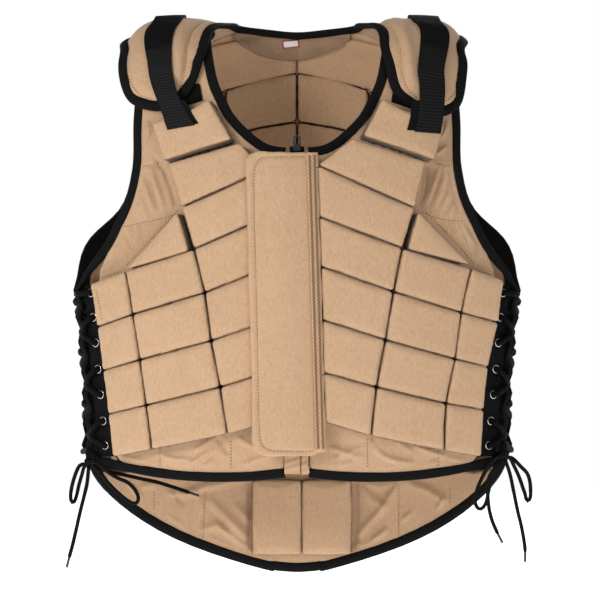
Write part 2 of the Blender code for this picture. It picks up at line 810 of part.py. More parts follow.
def tail_pads():
    for side, xs in TAIL_PADS.items():
        rows = []
        for j in range(3):
            z = TAIL_PAD_Z[0] + (TAIL_PAD_Z[1] - TAIL_PAD_Z[0]) * j / 2
            rows.append([back_spot(xs[0] + (xs[1] - xs[0]) * i / 2, z) for i in range(3)])
        bm = slab(rows, on_back, -CLOTH - TAIL_PAD_GAP, -CLOTH - TAIL_PAD_GAP - TAIL_PAD_THICK)
        bmesh.ops.recalc_face_normals(bm, faces=bm.faces)
        rim = [e for e in bm.edges if e.calc_face_angle() > RIM_ANGLE and
               sum(v.co.y for v in e.verts) / 2 < sum(v.co.y for v in bm.verts) / len(bm.verts)]
        bmesh.ops.bevel(bm, geom=rim, offset=PAD_ROUND, offset_type="OFFSET", segments=1, profile=0.5,
                        affect="EDGES", material=-1, clamp_overlap=True)
        finish(f"tail_pad_{side}", bm, "cloth")


def shoulder_strap(side, sign):
    table = LEFT_STRAP if sign < 0 else RIGHT_STRAP
    heights = [row[3] * MM for row in table] + [row[3] * MM for row in STRAP_OVER]
    rows = []
    for z, a, b, height in table:
        rows += over_rows(((z, a, b),), (), sign, height * MM, 3)
    rows += over_rows((), [(row[0], *row[:3]) for row in STRAP_OVER], sign, 0, 3)
    if sign < 0:
        rows = [row if row[0][0] > row[-1][0] else row[::-1] for row in rows]
    last = len(rows) - 1

    def base(_, along):
        return heights[round(along * last)]

    def face(_, along):
        return base(0, along) + STRAP_THICK

    finish(f"strap_{side}", slab(rows, on_shoulder, face, base), "black")


def strap_anchor(side, sign):
    """The patch on the front that the strap fastens to."""
    corners = LEFT_ANCHOR if sign < 0 else RIGHT_ANCHOR
    spots = [over_spot(x, z, ANCHOR_HEIGHTS[1]) for x, z in corners]
    rows = [[spots[0], between(spots[0], spots[1], 0.5), spots[1]],
            [spots[3], between(spots[3], spots[2], 0.5), spots[2]]]
    finish(f"strap_anchor_{side}", slab(rows, on_shoulder, ANCHOR_HEIGHTS[1], ANCHOR_HEIGHTS[0]), "black")


def centre_flap():
    rows = []
    for z, left, right in CENTRE_FLAP_ROWS:
        rows.append([front_spot(left + (right - left) * i / 4, z, CENTRE_FLAP_LEFT) for i in range(5)])

    def base(across, _):
        return CENTRE_FLAP_LEFT + (CENTRE_FLAP_RIGHT - CENTRE_FLAP_LEFT) * smooth(CENTRE_FLAP_BEND, 1.0, across)

    def face(across, _):
        return base(across, 0) + CENTRE_FLAP_THICK

    finish("centre_flap", slab(rows, on_front, face, base), "cloth")


def zip_and_pull():
    rows = [[front_spot(half * side, z) for side in (-1, -0.25, 0.25, 1)] for z, half in ZIP_ROWS]

    def face(across, _):
        return ZIP_RISE if 0.1 < across < 0.9 else -ZIP_EDGE_DROP

    finish("zip", slab(rows, on_front, face, -CLOTH), "zip")
    bm = bmesh.new()
    bmesh.ops.create_cube(bm, size=1)
    low = front_spot(0, PULL_Z[0])
    point = on_front(low, 0)
    tall = (PULL_Z[1] - PULL_Z[0]) * MM
    for vert in bm.verts:
        vert.co = Vector((vert.co.x * 2 * PULL_HALF, point.y - PULL_OUT + vert.co.y * PULL_THICK,
                          point.z + (vert.co.z + 0.5) * tall))
    finish("zip_pull", bm, "black")


def tube(name, points, radius, aglet=False):
    """A round cord through points, with flat ends; its last stretch can narrow to a sleeve."""
    data = bpy.data.curves.new(name, "CURVE")
    data.dimensions = "3D"
    data.bevel_depth = radius
    data.bevel_resolution = 2
    data.use_fill_caps = True
    data.render_resolution_u = 0
    spline = data.splines.new("POLY")
    spline.points.add(len(points) - 1)
    first_thin = round((1 - AGLET_SHARE) * (len(points) - 1))
    for i, (slot, point) in enumerate(zip(spline.points, points)):
        slot.co = (*point, 1)
        if aglet and i > first_thin:
            slot.radius = AGLET_RADIUS
    data.materials.append(material("black"))
    item = bpy.data.objects.new(name, data)
    bpy.context.scene.collection.objects.link(item)
    return item


def smooth_route(points, spacing):
    """Points a spacing apart along a smooth curve through the given ones."""
    points = [Vector(point) for point in points]
    tangents = []
    for i in range(len(points)):
        before, after = points[max(0, i - 1)], points[min(len(points) - 1, i + 1)]
        tangents.append((after - before).normalized())
    dense = [points[0]]
    for i in range(len(points) - 1):
        start, end = points[i], points[i + 1]
        handle = (end - start).length / 3
        dense += interpolate_bezier(start, start + tangents[i] * handle,
                                    end - tangents[i + 1] * handle, end, 12)[1:]
    lengths = [0.0]
    for start, end in zip(dense, dense[1:]):
        lengths.append(lengths[-1] + (end - start).length)
    count = max(2, round(lengths[-1] / spacing))
    found = []
    k = 0
    for i in range(count + 1):
        want = lengths[-1] * i / count
        while k < len(lengths) - 2 and lengths[k + 1] < want:
            k += 1
        share = (want - lengths[k]) / (lengths[k + 1] - lengths[k])
        found.append(dense[k].lerp(dense[k + 1], min(1, max(0, share))))
    return found


def seen_route(table):
    route = []
    for view_x, view_z, y in table:
        x, z = as_seen(view_x, view_z, y * MM)
        route.append((x, y * MM, z))
    return route


def held_lace(side, sign):
    """The lace that crosses between the two rows of eyelets, up one way and down the other."""
    front = [(*eyelet, FRONT_REACH) for eyelet in front_eyelets(sign)]
    back = [(*eyelet, BACK_REACH) for eyelet in back_eyelets(sign)]
    count = len(EYELET_HEIGHTS)
    rising = [(front if k % 2 == 0 else back)[k] for k in range(count - 1, -1, -1)]
    falling = [(back if k % 2 == 0 else front)[k] for k in range(count)]
    stops = rising + falling
    points = []
    for k, (point, out, reach) in enumerate(stops):
        points += [point - out * EYELET_REACH, point + out * EYELET_REACH]
        if k == len(stops) - 1:
            break
        target, target_out, target_reach = stops[k + 1]
        way = (target - point).normalized()
        side_step = Vector((sign, 0, 0)) * (CROSSING_SHIFT if k < count else -CROSSING_SHIFT)
        over = point + (way - out * way.dot(out)).normalized() * reach + out * LACE_LIFT
        inward = (way - target_out * way.dot(target_out)).normalized()
        under = target - inward * target_reach - target_out * LACE_LIFT
        points += [over, (over + under) / 2 + side_step, under]
    knot = Vector(seen_route([KNOTS[side]])[0])
    way = (knot - point).normalized()
    points.append(point + (way - out * way.dot(out)).normalized() * BACK_REACH + out * LACE_LIFT)
    approach = Vector((sign * KNOT_APPROACH.x, KNOT_APPROACH.y, KNOT_APPROACH.z))
    points.append(knot + approach * KNOT_LEAD)
    radii = [HELD_RADIUS] * len(points)
    for along, radius in KNOT_SHAPE:
        points.append(knot + approach * along * KNOT_RADIUS)
        radii.append(radius * KNOT_RADIUS)
    finish(f"side_lace_{side}", cord_mesh(points, radii, HELD_SIDES), "black")


def cord_mesh(points, radii, sides):
    """A round cord swept through points, each with its radius, with a frame carried along it."""
    bm = bmesh.new()
    side_way = Vector((0, 0, 1))
    rings = []
    for i, point in enumerate(points):
        before = points[max(0, i - 1)]
        after = points[min(len(points) - 1, i + 1)]
        ahead = (after - before).normalized()
        side_way = (side_way - ahead * side_way.dot(ahead)).normalized()
        other = ahead.cross(side_way)
        ring = []
        for k in range(sides):
            turn = 2 * math.pi * k / sides
            ring.append(bm.verts.new(point + (side_way * math.cos(turn) + other * math.sin(turn)) * radii[i]))
        rings.append(ring)
    for first, second in zip(rings, rings[1:]):
        for k in range(sides):
            bm.faces.new((first[k], first[k - 1], second[k - 1], second[k]))
    bm.faces.new(rings[0])
    bm.faces.new(list(reversed(rings[-1])))
    return bm


def free_laces():
    """The bow and the two loose ends that leave each knot."""
    for side, table in BOW_ROUTES.items():
        route = [Vector(point) for point in seen_route(table)]
        route = [knot_exit(side, route[0])] + route + [knot_exit(side, route[-1])]
        tube(f"bow_{side}", smooth_route(route, 11 * MM), LACE_RADIUS)
    for name, table in END_ROUTES.items():
        route = [Vector(point) for point in seen_route(table)]
        route = [knot_exit(name.split("_")[0], route[0])] + route
        tube(f"lace_end_{name}", smooth_route(route, 12 * MM), LACE_RADIUS, True)


def knot_exit(side, towards):
    """Where a cord that heads towards a point leaves the knot."""
    knot = Vector(seen_route([KNOTS[side]])[0])
    return knot + (towards - knot).normalized() * (KNOT_RADIUS + KNOT_GAP)


def build():
    clear_scene()
    front_pads("left", LEFT_LINES, LEFT_YOKE_PAD, LEFT_WEDGE_PAD)
    front_pads("right", RIGHT_LINES, RIGHT_YOKE_PAD, RIGHT_WEDGE_PAD)
    for side, sign in (("left", -1), ("right", 1)):
        front_cloth(side, sign)
        front_strip(side, sign)
        front_binding(side, sign)
        shoulder_flap(side, sign)
        shoulder_strap(side, sign)
        strap_anchor(side, sign)
        held_lace(side, sign)
    back_panel()
    back_binding()
    tail_pads()
    centre_flap()
    zip_and_pull()
    free_laces()


build()
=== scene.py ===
import math

import bmesh
import bpy
import numpy as np
from mathutils import Matrix, Vector, noise
from mathutils.bvhtree import BVHTree
from mathutils.geometry import interpolate_bezier


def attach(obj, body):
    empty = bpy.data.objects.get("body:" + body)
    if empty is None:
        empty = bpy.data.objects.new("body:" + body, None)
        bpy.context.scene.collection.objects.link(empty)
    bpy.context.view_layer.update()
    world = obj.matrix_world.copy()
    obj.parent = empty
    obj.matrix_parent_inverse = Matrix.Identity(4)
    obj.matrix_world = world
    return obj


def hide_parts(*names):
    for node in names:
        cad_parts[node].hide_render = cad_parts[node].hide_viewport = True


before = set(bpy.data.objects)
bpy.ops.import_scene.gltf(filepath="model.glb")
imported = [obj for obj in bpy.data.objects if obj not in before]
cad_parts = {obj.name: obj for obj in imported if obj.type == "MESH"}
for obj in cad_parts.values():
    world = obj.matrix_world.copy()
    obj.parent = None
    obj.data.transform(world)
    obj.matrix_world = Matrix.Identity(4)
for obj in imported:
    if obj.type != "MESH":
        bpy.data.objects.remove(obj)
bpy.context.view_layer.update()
mm = 0.001
print("frame loaded")

# places below are read in millimetres as they show in the photograph, at the camera's distance
view = {
    "distance": 3.0,
    "height": -0.308,
    "side": 0.0033,
    "lens": 163.6,
    # the photograph's middle column, top row and millimetres a pixel
    "column": 297,
    "row": 20,
    "pixel": 1.1,
}


def spot(px, py):
    # a place in the photograph, from its pixels to millimetres
    return (px - view["column"]) * view["pixel"], (view["row"] - py) * view["pixel"]


def place(viewX, viewZ, y=0.0):
    # the real point behind a place in the picture, at a depth of y metres
    scale = 1 + y / view["distance"]
    return Vector((viewX * mm * scale, y, view["height"] + (viewZ * mm - view["height"]) * scale))


def makeCamera():
    data = bpy.data.cameras.new("camera")
    data.lens = view["lens"]
    data.sensor_width = 36
    data.clip_end = 30
    camera = bpy.data.objects.new("camera", data)
    camera.location = (view["side"], -view["distance"], view["height"])
    camera.rotation_euler = (math.radians(90), 0, 0)
    bpy.context.scene.collection.objects.link(camera)
    bpy.context.scene.camera = camera


makeCamera()
print("camera placed")


# shader maths: one number that changes over a surface
class Signal:
    def __init__(self, finish, socket):
        self.finish = finish
        self.socket = socket

    def math(self, operation, first, second=None, clamp=False):
        values = {0: first} if second is None else {0: first, 1: second}
        return self.finish.add("ShaderNodeMath", {"operation": operation, "use_clamp": clamp}, values)

    def __add__(self, other):
        return self.math("ADD", self, other)

    def __sub__(self, other):
        return self.math("SUBTRACT", self, other)

    def __rsub__(self, other):
        return self.math("SUBTRACT", other, self)

    def __mul__(self, other):
        return self.math("MULTIPLY", self, other)

    def sine(self):
        return self.math("SINE", self)

    def clipped(self):
        return self.math("ADD", self, 0.0, True)


class Finish:
    def __init__(self, name, colour, roughness, **constants):
        self.material = bpy.data.materials.new(name)
        self.material.use_nodes = True
        self.tree = self.material.node_tree
        self.shader = self.tree.nodes["Principled BSDF"]
        self.shader.inputs["Base Color"].default_value = (*colour, 1)
        self.shader.inputs["Roughness"].default_value = roughness
        for socket, value in constants.items():
            self.shader.inputs[socket.replace("_", " ")].default_value = value
        self.material.diffuse_color = (*colour, 1)
        self.place = self.add("ShaderNodeTexCoord", {}, {}, "Object")

    def add(self, kind, settings, values, out=0):
        # any node: its settings first, then the values or links of its sockets
        node = self.tree.nodes.new(kind)
        for key, value in settings.items():
            setattr(node, key, value)
        for key, value in values.items():
            if isinstance(value, Signal):
                self.tree.links.new(value.socket, node.inputs[key])
            else:
                node.inputs[key].default_value = value
        return Signal(self, node.outputs[out])

    def axes(self):
        node = self.add("ShaderNodeSeparateXYZ", {}, {0: self.place}).socket.node
        return [Signal(self, socket) for socket in node.outputs]

    def grain(self, scale, detail=2.0, stretch=(1, 1, 1)):
        # noise between 0 and 1, finer with scale
        vector = self.place
        if stretch != (1, 1, 1):
            vector = self.add("ShaderNodeMapping", {}, {"Vector": self.place, "Scale": stretch})
        return self.add("ShaderNodeTexNoise", {}, {"Vector": vector, "Scale": scale, "Detail": detail})

    def read(self, name):
        return self.add("ShaderNodeAttribute", {"attribute_name": name}, {}, "Fac")

    def blend(self, share, first, second):
        # colours go through a Mix node
        def shade(colour):
            return colour if isinstance(colour, Signal) else (*colour, 1)

        values = {"Factor": share, 6: shade(first), 7: shade(second)}
        return self.add("ShaderNodeMix", {"data_type": "RGBA"}, values, 2)

    def colour(self, signal):
        self.tree.links.new(signal.socket, self.shader.inputs["Base Color"])

    def rough(self, signal):
        self.tree.links.new(signal.socket, self.shader.inputs["Roughness"])

    def bump(self, height, distance, strength=1.0):
        values = {"Height": height, "Distance": distance, "Strength": strength}
        raised = self.add("ShaderNodeBump", {}, values)
        self.tree.links.new(raised.socket, self.shader.inputs["Normal"])


tan = {
    "colour": (0.595, 0.385, 0.228),
    "deep": (0.520, 0.325, 0.186),
    "light": (0.665, 0.440, 0.272),
    # painted shade: the dark colour given to cloth in the gaps between blocks, to block sides and along the
    # placket's seam
    "groove": (0.07, 0.035, 0.018),
    "thread": 0.0011,
    "grain": 1500,
    "slub": 620,
    "mottle": 60,
    "patch": 9,
}


def weave(finish, pitch):
    # crossing threads, each axis seen where the surface faces another one
    turn = 2 * math.pi / pitch
    x, y, z = finish.axes()
    return (x * turn).sine() * (z * turn).sine() + (y * turn).sine() * (z * turn).sine() * 0.6


def tanCloth(name, deeper=1.0):
    # a brightness below 1 makes a darker copy of the cloth, a painted shade
    shades = {key: [c * deeper for c in tan[key]] for key in ("colour", "deep", "light")}
    finish = Finish(name, shades["colour"], 0.86, Sheen_Weight=0.22, Sheen_Roughness=0.45,
                    Specular_IOR_Level=0.25)
    fine = finish.grain(tan["grain"], 3.0)
    slub = finish.grain(tan["slub"], 2.0, (1.0, 1.0, 0.35))
    mottle = finish.grain(tan["mottle"], 3.0)
    patch = finish.grain(tan["patch"], 2.0)
    threads = weave(finish, tan["thread"])
    mixed = (fine - 0.5) * 1.3 + (slub - 0.5) * 1.5 + (mottle - 0.5) * 0.3 + (patch - 0.5) * 0.5
    mixed = mixed + threads * 0.06 + 0.5
    shade = finish.blend(mixed.clipped(), shades["deep"], shades["light"])
    # painted shade: the colour goes towards the dark groove colour where the groove value is set
    shade = finish.blend(finish.read("groove").clipped(), shade, tan["groove"])
    finish.colour(shade)
    finish.rough((fine - 0.5) * 0.15 + 0.86)
    finish.bump(threads * 0.35 + fine * 0.9 + slub * 0.8, 0.0004, 0.55)
    return finish.material


def blackTape(name, pitch, colour=(0.0035, 0.0035, 0.0038), rough=0.8):
    finish = Finish(name, colour, rough, Specular_IOR_Level=0.13)
    fine = finish.grain(1400, 3.0)
    worn = finish.grain(45, 3.0)
    ribs = weave(finish, pitch)
    mixed = (fine - 0.5) * 1.2 + (worn - 0.5) * 0.8 + 0.4
    lighter = [c * 2.1 for c in colour]
    finish.colour(finish.blend(mixed.clipped(), colour, lighter))
    finish.rough((worn - 0.5) * 0.2 + rough)
    finish.bump(ribs * 0.5 + fine, 0.0003, 0.6)
    return finish.material


def webbing(name):
    # ribs run across the strap, at a pitch in metres along its own length, where it isn't smooth; each rib is
    # raised by the bump and its crest is painted lighter as a highlight
    finish = Finish(name, (0.005, 0.005, 0.0055), 0.7, Specular_IOR_Level=0.15)
    along = finish.read("along")
    fine = finish.grain(1500, 2.0)
    ribPitch = 0.0034
    ribs = (along * (2 * math.pi / ribPitch)).sine() * 0.5 + 0.5
    fuzz = finish.read("fuzz")
    ribReliefAndHighlight = ribs * (1 - fuzz)
    # painted highlight: the rib crests go from near black to dark grey
    shade = finish.blend(ribReliefAndHighlight * 0.8 + fine * 0.2, (0.0015, 0.0015, 0.0016), (0.012, 0.012, 0.0125))
    finish.colour(shade)
    finish.rough(fuzz * 0.2 + 0.62)
    finish.bump(ribReliefAndHighlight + fine * 0.3 + finish.grain(500, 3.0) * fuzz * 0.6, 0.0005, 0.8)
    return finish.material


def plain(name, colour, roughness, **constants):
    finish = Finish(name, colour, roughness, **constants)
    fine = finish.grain(900, 2.0)
    finish.rough((fine - 0.5) * 0.12 + roughness)
    finish.bump(fine, 0.0002, 0.4)
    return finish.material


finishes = {
    "cloth": tanCloth("tan cloth"),
    # the neck facing is the tan cloth at 0.6 of its brightness: painted shade inside the neck
    "facing": tanCloth("facing cloth", 0.6),
    "binding": blackTape("black binding", 0.0012),
    "strip": blackTape("black eyelet cloth", 0.0014),
    "lace": blackTape("black lace", 0.0016, (0.003, 0.003, 0.0032), 0.82),
    "loop": blackTape("black loop patch", 0.0022, (0.004, 0.004, 0.0043), 0.95),
    "webbing": webbing("black webbing"),
    "ring": plain("eyelet metal", (0.62, 0.61, 0.59), 0.22, Metallic=1.0),
    "tip": plain("lace tip", (0.02, 0.02, 0.02), 0.35),
    "zip": plain("zip teeth", (0.018, 0.018, 0.018), 0.4),
    "thread": plain("tan thread", (0.25, 0.145, 0.075), 0.8),
    "tag": plain("white tag", (0.82, 0.81, 0.78), 0.75),
    "tagEdge": plain("red tag edge", (0.42, 0.03, 0.04), 0.7),
}
print("materials made")


def cadCopy(node):
    # a merged copy of a CAD node, with its triangles joined back to quads
    bm = bmesh.new()
    bm.from_mesh(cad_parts[node].data)
    bmesh.ops.remove_doubles(bm, verts=bm.verts, dist=0.00001)
    bmesh.ops.join_triangles(bm, faces=bm.faces, angle_face_threshold=math.radians(60),
                             angle_shape_threshold=math.radians(180))
    return bm


def objectOf(name, bm):
    mesh = bpy.data.meshes.new(name)
    bm.to_mesh(mesh)
    bm.free()
    item = bpy.data.objects.new(name, mesh)
    bpy.context.scene.collection.objects.link(item)
    return item


def bakeModifiers(item):
    # the object keeps what its modifiers make, and loses the modifiers
    bpy.context.view_layer.update()
    found = item.evaluated_get(bpy.context.evaluated_depsgraph_get())
    mesh = bpy.data.meshes.new_from_object(found)
    item.modifiers.clear()
    item.data = mesh
    return item


def addPiece(item, finish, nodes, slot):
    item.data.materials.clear()
    item.data.materials.append(finishes[finish])
    item.data.shade_smooth()
    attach(item, "root")
    if nodes:
        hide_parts(*nodes)
    return item


def gridOf(columns, rows):
    # a flat grid from -1 to 1, to be laid over something
    bm = bmesh.new()
    bmesh.ops.create_grid(bm, x_segments=columns, y_segments=rows, size=1)
    return bm


def walled(name, bm, thickness):
    # a closed piece of cloth made from a sheet, its faces outwards
    bmesh.ops.recalc_face_normals(bm, faces=bm.faces)
    bmesh.ops.solidify(bm, geom=bm.faces[:], thickness=thickness)
    bmesh.ops.recalc_face_normals(bm, faces=bm.faces)
    return objectOf(name, bm)


def keepValues(item, name, values):
    # a number for each point, which the materials read
    item.data.attributes.new(name, "FLOAT", "POINT").data.foreach_set("value", values)


def rounded(name, bm, levels, sharp=None, rounds=5):
    # Catmull-Clark subdivision whose surface still passes through the CAD's own corners
    if sharp is not None:
        layer = bm.edges.layers.float.new("crease_edge")
        for edge in bm.edges:
            if len(edge.link_faces) == 2 and edge.calc_face_angle() > math.radians(sharp):
                edge[layer] = 1.0
    item = objectOf(name, bm)
    wanted = [vert.co.copy() for vert in item.data.vertices]
    modifier = item.modifiers.new("round", "SUBSURF")
    modifier.levels = modifier.render_levels = levels
    for _ in range(rounds):
        bpy.context.view_layer.update()
        shown = item.evaluated_get(bpy.context.evaluated_depsgraph_get()).to_mesh()
        for i, target in enumerate(wanted):
            item.data.vertices[i].co += target - shown.vertices[i].co
    return bakeModifiers(item)


def paintGrooveShade(item, tree, near=1.6 * mm, far=2.6 * mm):
    # painted shade: the cloth gets the dark groove colour where it shows only in the deep gaps between blocks
    shares = []
    for point in meshArrays(item)[0]:
        gap = tree.find_nearest(Vector(point), far)[3]
        shares.append(0.0 if gap is None else min(1.0, (far - gap) / (far - near)))
    keepValues(item, "groove", shares)


def paintSideShade(item, start=0.35, reach=0.5, strength=0.85):
    # painted shade: a block's sides lie in its grooves and get the dark groove colour, so they show darker
    # than its top
    _, normals = meshArrays(item)
    top = normals[normals[:, 1] < -0.6].mean(axis=0)
    top /= np.linalg.norm(top)
    aside = 1 - normals @ top
    keepValues(item, "groove", np.clip((aside - start) / reach, 0, 1) * strength)


def treeOf(items):
    # everything in these objects, to look for surfaces with
    bm = bmesh.new()
    for item in items:
        bm.from_mesh(item.data)
    tree = BVHTree.FromBMesh(bm)
    bm.free()
    return tree


eye = Vector((view["side"], -view["distance"], view["height"]))


def seen(tree, viewX, viewZ, behind=False):
    # the point and outward normal that show at a place in the picture, or straight from behind
    start, ray = eye, (place(viewX, viewZ) - eye).normalized()
    if behind:
        start, ray = Vector((viewX * mm, 1, viewZ * mm)), Vector((0, -1, 0))
    point, normal, _, _ = tree.ray_cast(start, ray)
    if point is None:
        return None
    return point, normal if normal.dot(ray) < 0 else -normal


def meshArrays(item):
    # the places and normals of a mesh's points, in rows of three
    count = len(item.data.vertices)
    places, normals = np.empty(count * 3), np.empty(count * 3)
    item.data.vertices.foreach_get("co", places)
    item.data.vertex_normals.foreach_get("vector", normals)
    return places.reshape(-1, 3), normals.reshape(-1, 3)


def setPlaces(item, places):
    item.data.vertices.foreach_set("co", places.ravel())
    item.data.update()


def farFrom(x, z, spots):
    # distance to a line through spots, and how far along it the nearest point lies, from 0 to 1
    nearest, along = np.full(len(x), 1e9), np.zeros(len(x))
    lengths = [math.dist(a, b) for a, b in zip(spots, spots[1:])]
    done = 0.0
    for (x1, z1), (x2, z2), length in zip(spots, spots[1:], lengths):
        share = np.clip(((x - x1) * (x2 - x1) + (z - z1) * (z2 - z1)) / length ** 2, 0, 1)
        gap = np.hypot(x - x1 - (x2 - x1) * share, z - z1 - (z2 - z1) * share)
        closer = gap < nearest
        nearest[closer] = gap[closer]
        along[closer] = ((done + share * length) / sum(lengths))[closer]
        done += length
    return nearest, along


def inView(places):
    # where real points show in the picture, in millimetres
    scale = view["distance"] / (view["distance"] + places[:, 1])
    return places[:, 0] * scale / mm, (view["height"] + (places[:, 2] - view["height"]) * scale) / mm


def relief(item, lines, facing=-0.2, ends=0.5, still=None, stillNear=0.002, stillFar=0.008):
    # soft ridges and valleys: points in the photograph, half width in pixels, height in millimetres
    # they fade out near what has to stay still
    places, normals = meshArrays(item)
    x, z = inView(places)
    lift = np.zeros(len(x))
    for points, width, height in lines:
        gap, along = farFrom(x, z, [spot(*point) for point in points])
        taper = np.sin(np.clip(along, 0.001, 0.999) * math.pi) ** ends
        lift += height * taper * np.exp(-(gap / (width * view["pixel"])) ** 2)
    lift[normals[:, 1] > facing] = 0
    if still is not None:
        # beyond the reach of the search the gap is None, and the fold has its full height
        found = [still.find_nearest(Vector(point), 0.012)[3] for point in places]
        gaps = np.array([1.0 if gap is None else gap for gap in found])
        lift *= np.clip((gaps - stillNear) / stillFar, 0, 1)
    setPlaces(item, places + normals * (lift * mm)[:, None])


def finer(item, wanted):
    # smaller faces where folds or stitched grooves come
    bm = bmesh.new()
    bm.from_mesh(item.data)
    edges = [edge for edge in bm.edges if all(wanted(face) for face in edge.link_faces)]
    bmesh.ops.subdivide_edges(bm, edges=edges, cuts=1, use_grid_fill=True)
    bm.to_mesh(item.data)
    bm.free()


def makeStitch():
    # one stitch, long in x and flat in z, a metre in size
    bm = bmesh.new()
    bmesh.ops.create_uvsphere(bm, u_segments=6, v_segments=4, radius=0.5)
    bmesh.ops.rotate(bm, verts=bm.verts, matrix=Matrix.Rotation(math.radians(90), 3, "Y"))
    mesh = bpy.data.meshes.new("stitch")
    bm.to_mesh(mesh)
    bm.free()
    return mesh


stitch = {
    "mesh": makeStitch(),
    "pitch": 3.5,
    "length": 2.0 * mm,
    "width": 1.2 * mm,
    "height": 0.9 * mm,
    "lift": 0.12 * mm,
    # a row breaks where what it lies on jumps further than this
    "jump": 0.008,
}


def stitchRow(bm, tree, points, pitch=None, slant=0.0, size=1.0, behind=False):
    # stitches that follow a line in the photograph, laid on what shows there
    flat = [Vector((*(point if behind else spot(*point)), 0)) for point in points]
    route = smoothRoute(flat, pitch or stitch["pitch"])
    hits = [seen(tree, here.x, here.y, behind) for here in route]
    for k, (first, second) in enumerate(zip(hits, hits[1:])):
        if first is None or second is None or (first[0] - second[0]).length > stitch["jump"]:
            continue
        way = (second[0] - first[0]).normalized()
        middle = (first[0] + second[0]) / 2
        up = (first[1] + second[1]).normalized()
        across = up.cross(way).normalized()
        lean = slant if k % 2 == 0 else -slant
        along = way * math.cos(lean) + across * math.sin(lean)
        across = up.cross(along).normalized()
        turn = Matrix((along, across, up)).transposed().to_4x4()
        sizes = [stitch[key] * size for key in ("length", "width", "height")]
        shape = Matrix.Diagonal((*sizes, 1))
        copy = stitch["mesh"].copy()
        copy.transform(Matrix.Translation(middle + up * stitch["lift"]) @ turn @ shape)
        bm.from_mesh(copy)
        bpy.data.meshes.remove(copy)


def stitching(name, rows, tree):
    bm = bmesh.new()
    for row in rows:
        stitchRow(bm, tree, **row)
    addPiece(objectOf(name, bm), "thread", (), "cloth")


def smoothRoute(points, spacing):
    # points a spacing apart along a smooth curve through the given ones
    points = [Vector(point) for point in points]
    ways = []
    for i in range(len(points)):
        before, after = points[max(0, i - 1)], points[min(len(points) - 1, i + 1)]
        ways.append((after - before).normalized())
    dense = [points[0]]
    for i in range(len(points) - 1):
        start, end = points[i], points[i + 1]
        handle = (end - start).length / 3
        dense += interpolate_bezier(start, start + ways[i] * handle, end - ways[i + 1] * handle, end, 12)[1:]
    return evenly(dense, spacing)


def evenly(dense, spacing):
    lengths = [0.0]
    for start, end in zip(dense, dense[1:]):
        lengths.append(lengths[-1] + (end - start).length)
    count = max(2, round(lengths[-1] / spacing))
    found = []
    k = 0
    for i in range(count + 1):
        want = lengths[-1] * i / count
        while k < len(lengths) - 2 and lengths[k + 1] < want:
            k += 1
        share = (want - lengths[k]) / max(1e-9, lengths[k + 1] - lengths[k])
        found.append(dense[k].lerp(dense[k + 1], min(1, max(0, share))))
    return found


def tube(name, points, radius, radii=None, sides=3):
    # a round cord through points, as a mesh
    data = bpy.data.curves.new(name, "CURVE")
    data.dimensions = "3D"
    data.bevel_depth = radius
    data.bevel_resolution = sides
    data.use_fill_caps = True
    spline = data.splines.new("POLY")
    spline.points.add(len(points) - 1)
    for i, point in enumerate(points):
        spline.points[i].co = (*point, 1)
        if radii:
            spline.points[i].radius = radii[i]
    curve = bpy.data.objects.new(name, data)
    bpy.context.scene.collection.objects.link(curve)
    bpy.context.view_layer.update()
    mesh = bpy.data.meshes.new_from_object(curve.evaluated_get(bpy.context.evaluated_depsgraph_get()))
    bpy.data.objects.remove(curve)
    item = bpy.data.objects.new(name, mesh)
    bpy.context.scene.collection.objects.link(item)
    return item


# free laces: x and z as they show in front, and the depth y, all in millimetres
laces = {
    "radius": 2.1 * mm,
    "diameter": 0.0042,
    "spacing": 3 * mm,
    "knots": {"left": (-229, -487, -47), "right": (228, -480, -47)},
    "knotRadius": 4.7 * mm,
    "knotGap": 0.35 * mm,
    "bows": {
        "left": ((-239, -490, -50), (-244.5, -502, -50), (-248, -515, -49), (-249, -526, -48),
                 (-246.5, -531, -46), (-243, -525, -43), (-240, -512, -43), (-236.5, -500, -48),
                 (-233, -490, -55), (-225, -486, -56), (-216, -490, -54), (-207, -498, -46),
                 (-197, -504, -37), (-186, -509, -30), (-177.5, -518, -27), (-174.5, -527, -26),
                 (-178.5, -532, -24), (-190, -526, -21), (-206, -511, -24), (-217, -498, -34)),
        "right": ((237, -482, -51), (246, -491, -51), (254, -500, -50), (257, -516, -49),
                  (254.5, -529, -47), (250.5, -520, -44), (244.5, -503, -43), (239, -491, -49),
                  (233, -481, -55.5), (224, -480, -56), (214, -487, -53), (206, -499, -45),
                  (198, -517, -37), (196, -530, -34), (201, -538, -32), (207.5, -532, -31),
                  (211, -517, -32), (215, -500, -34), (219, -489, -39)),
    },
    "ends": {
        "left_outer": ((-229.5, -496, -46), (-231, -510, -44), (-234, -523, -42), (-238.5, -541, -41),
                       (-243, -561, -41), (-247, -578, -42), (-250, -589, -43), (-253, -601, -43)),
        "left_inner": ((-227, -486, -37), (-221, -492, -27), (-206, -497, -23), (-188, -501, -24),
                       (-170, -505, -27), (-152, -509, -30), (-130, -516, -33), (-109, -523, -35)),
        "right_outer": ((231, -489, -45), (234.5, -500, -43), (238.5, -519, -41), (243, -541, -40),
                        (246.5, -555, -40), (249.5, -571, -41), (251, -583, -42), (251, -595, -43)),
        "right_inner": ((223, -490, -51), (214, -498, -54), (210, -508, -55), (210, -524, -54),
                        (211.5, -538, -52), (214.5, -550, -50), (219, -561, -49), (225.5, -574, -48)),
    },
    "lengths": {
        "bow_left": 0.263, "bow_right": 0.262,
        "left_outer": 0.115, "left_inner": 0.128, "right_outer": 0.116, "right_inner": 0.106,
    },
    # the plastic tips, the share that the cord keeps of its radius inside them, and what they stick out
    "tipLength": 0.013,
    "tipRadius": 1.4 * mm,
    "tipShare": 0.62,
    "tipOut": 0.0012,
}


def knotPlace(side):
    x, z, y = laces["knots"][side]
    return place(x, z, y * mm)


def knotExit(side, towards):
    knot = knotPlace(side)
    return knot + (towards - knot).normalized() * (laces["knotRadius"] + laces["knotGap"])


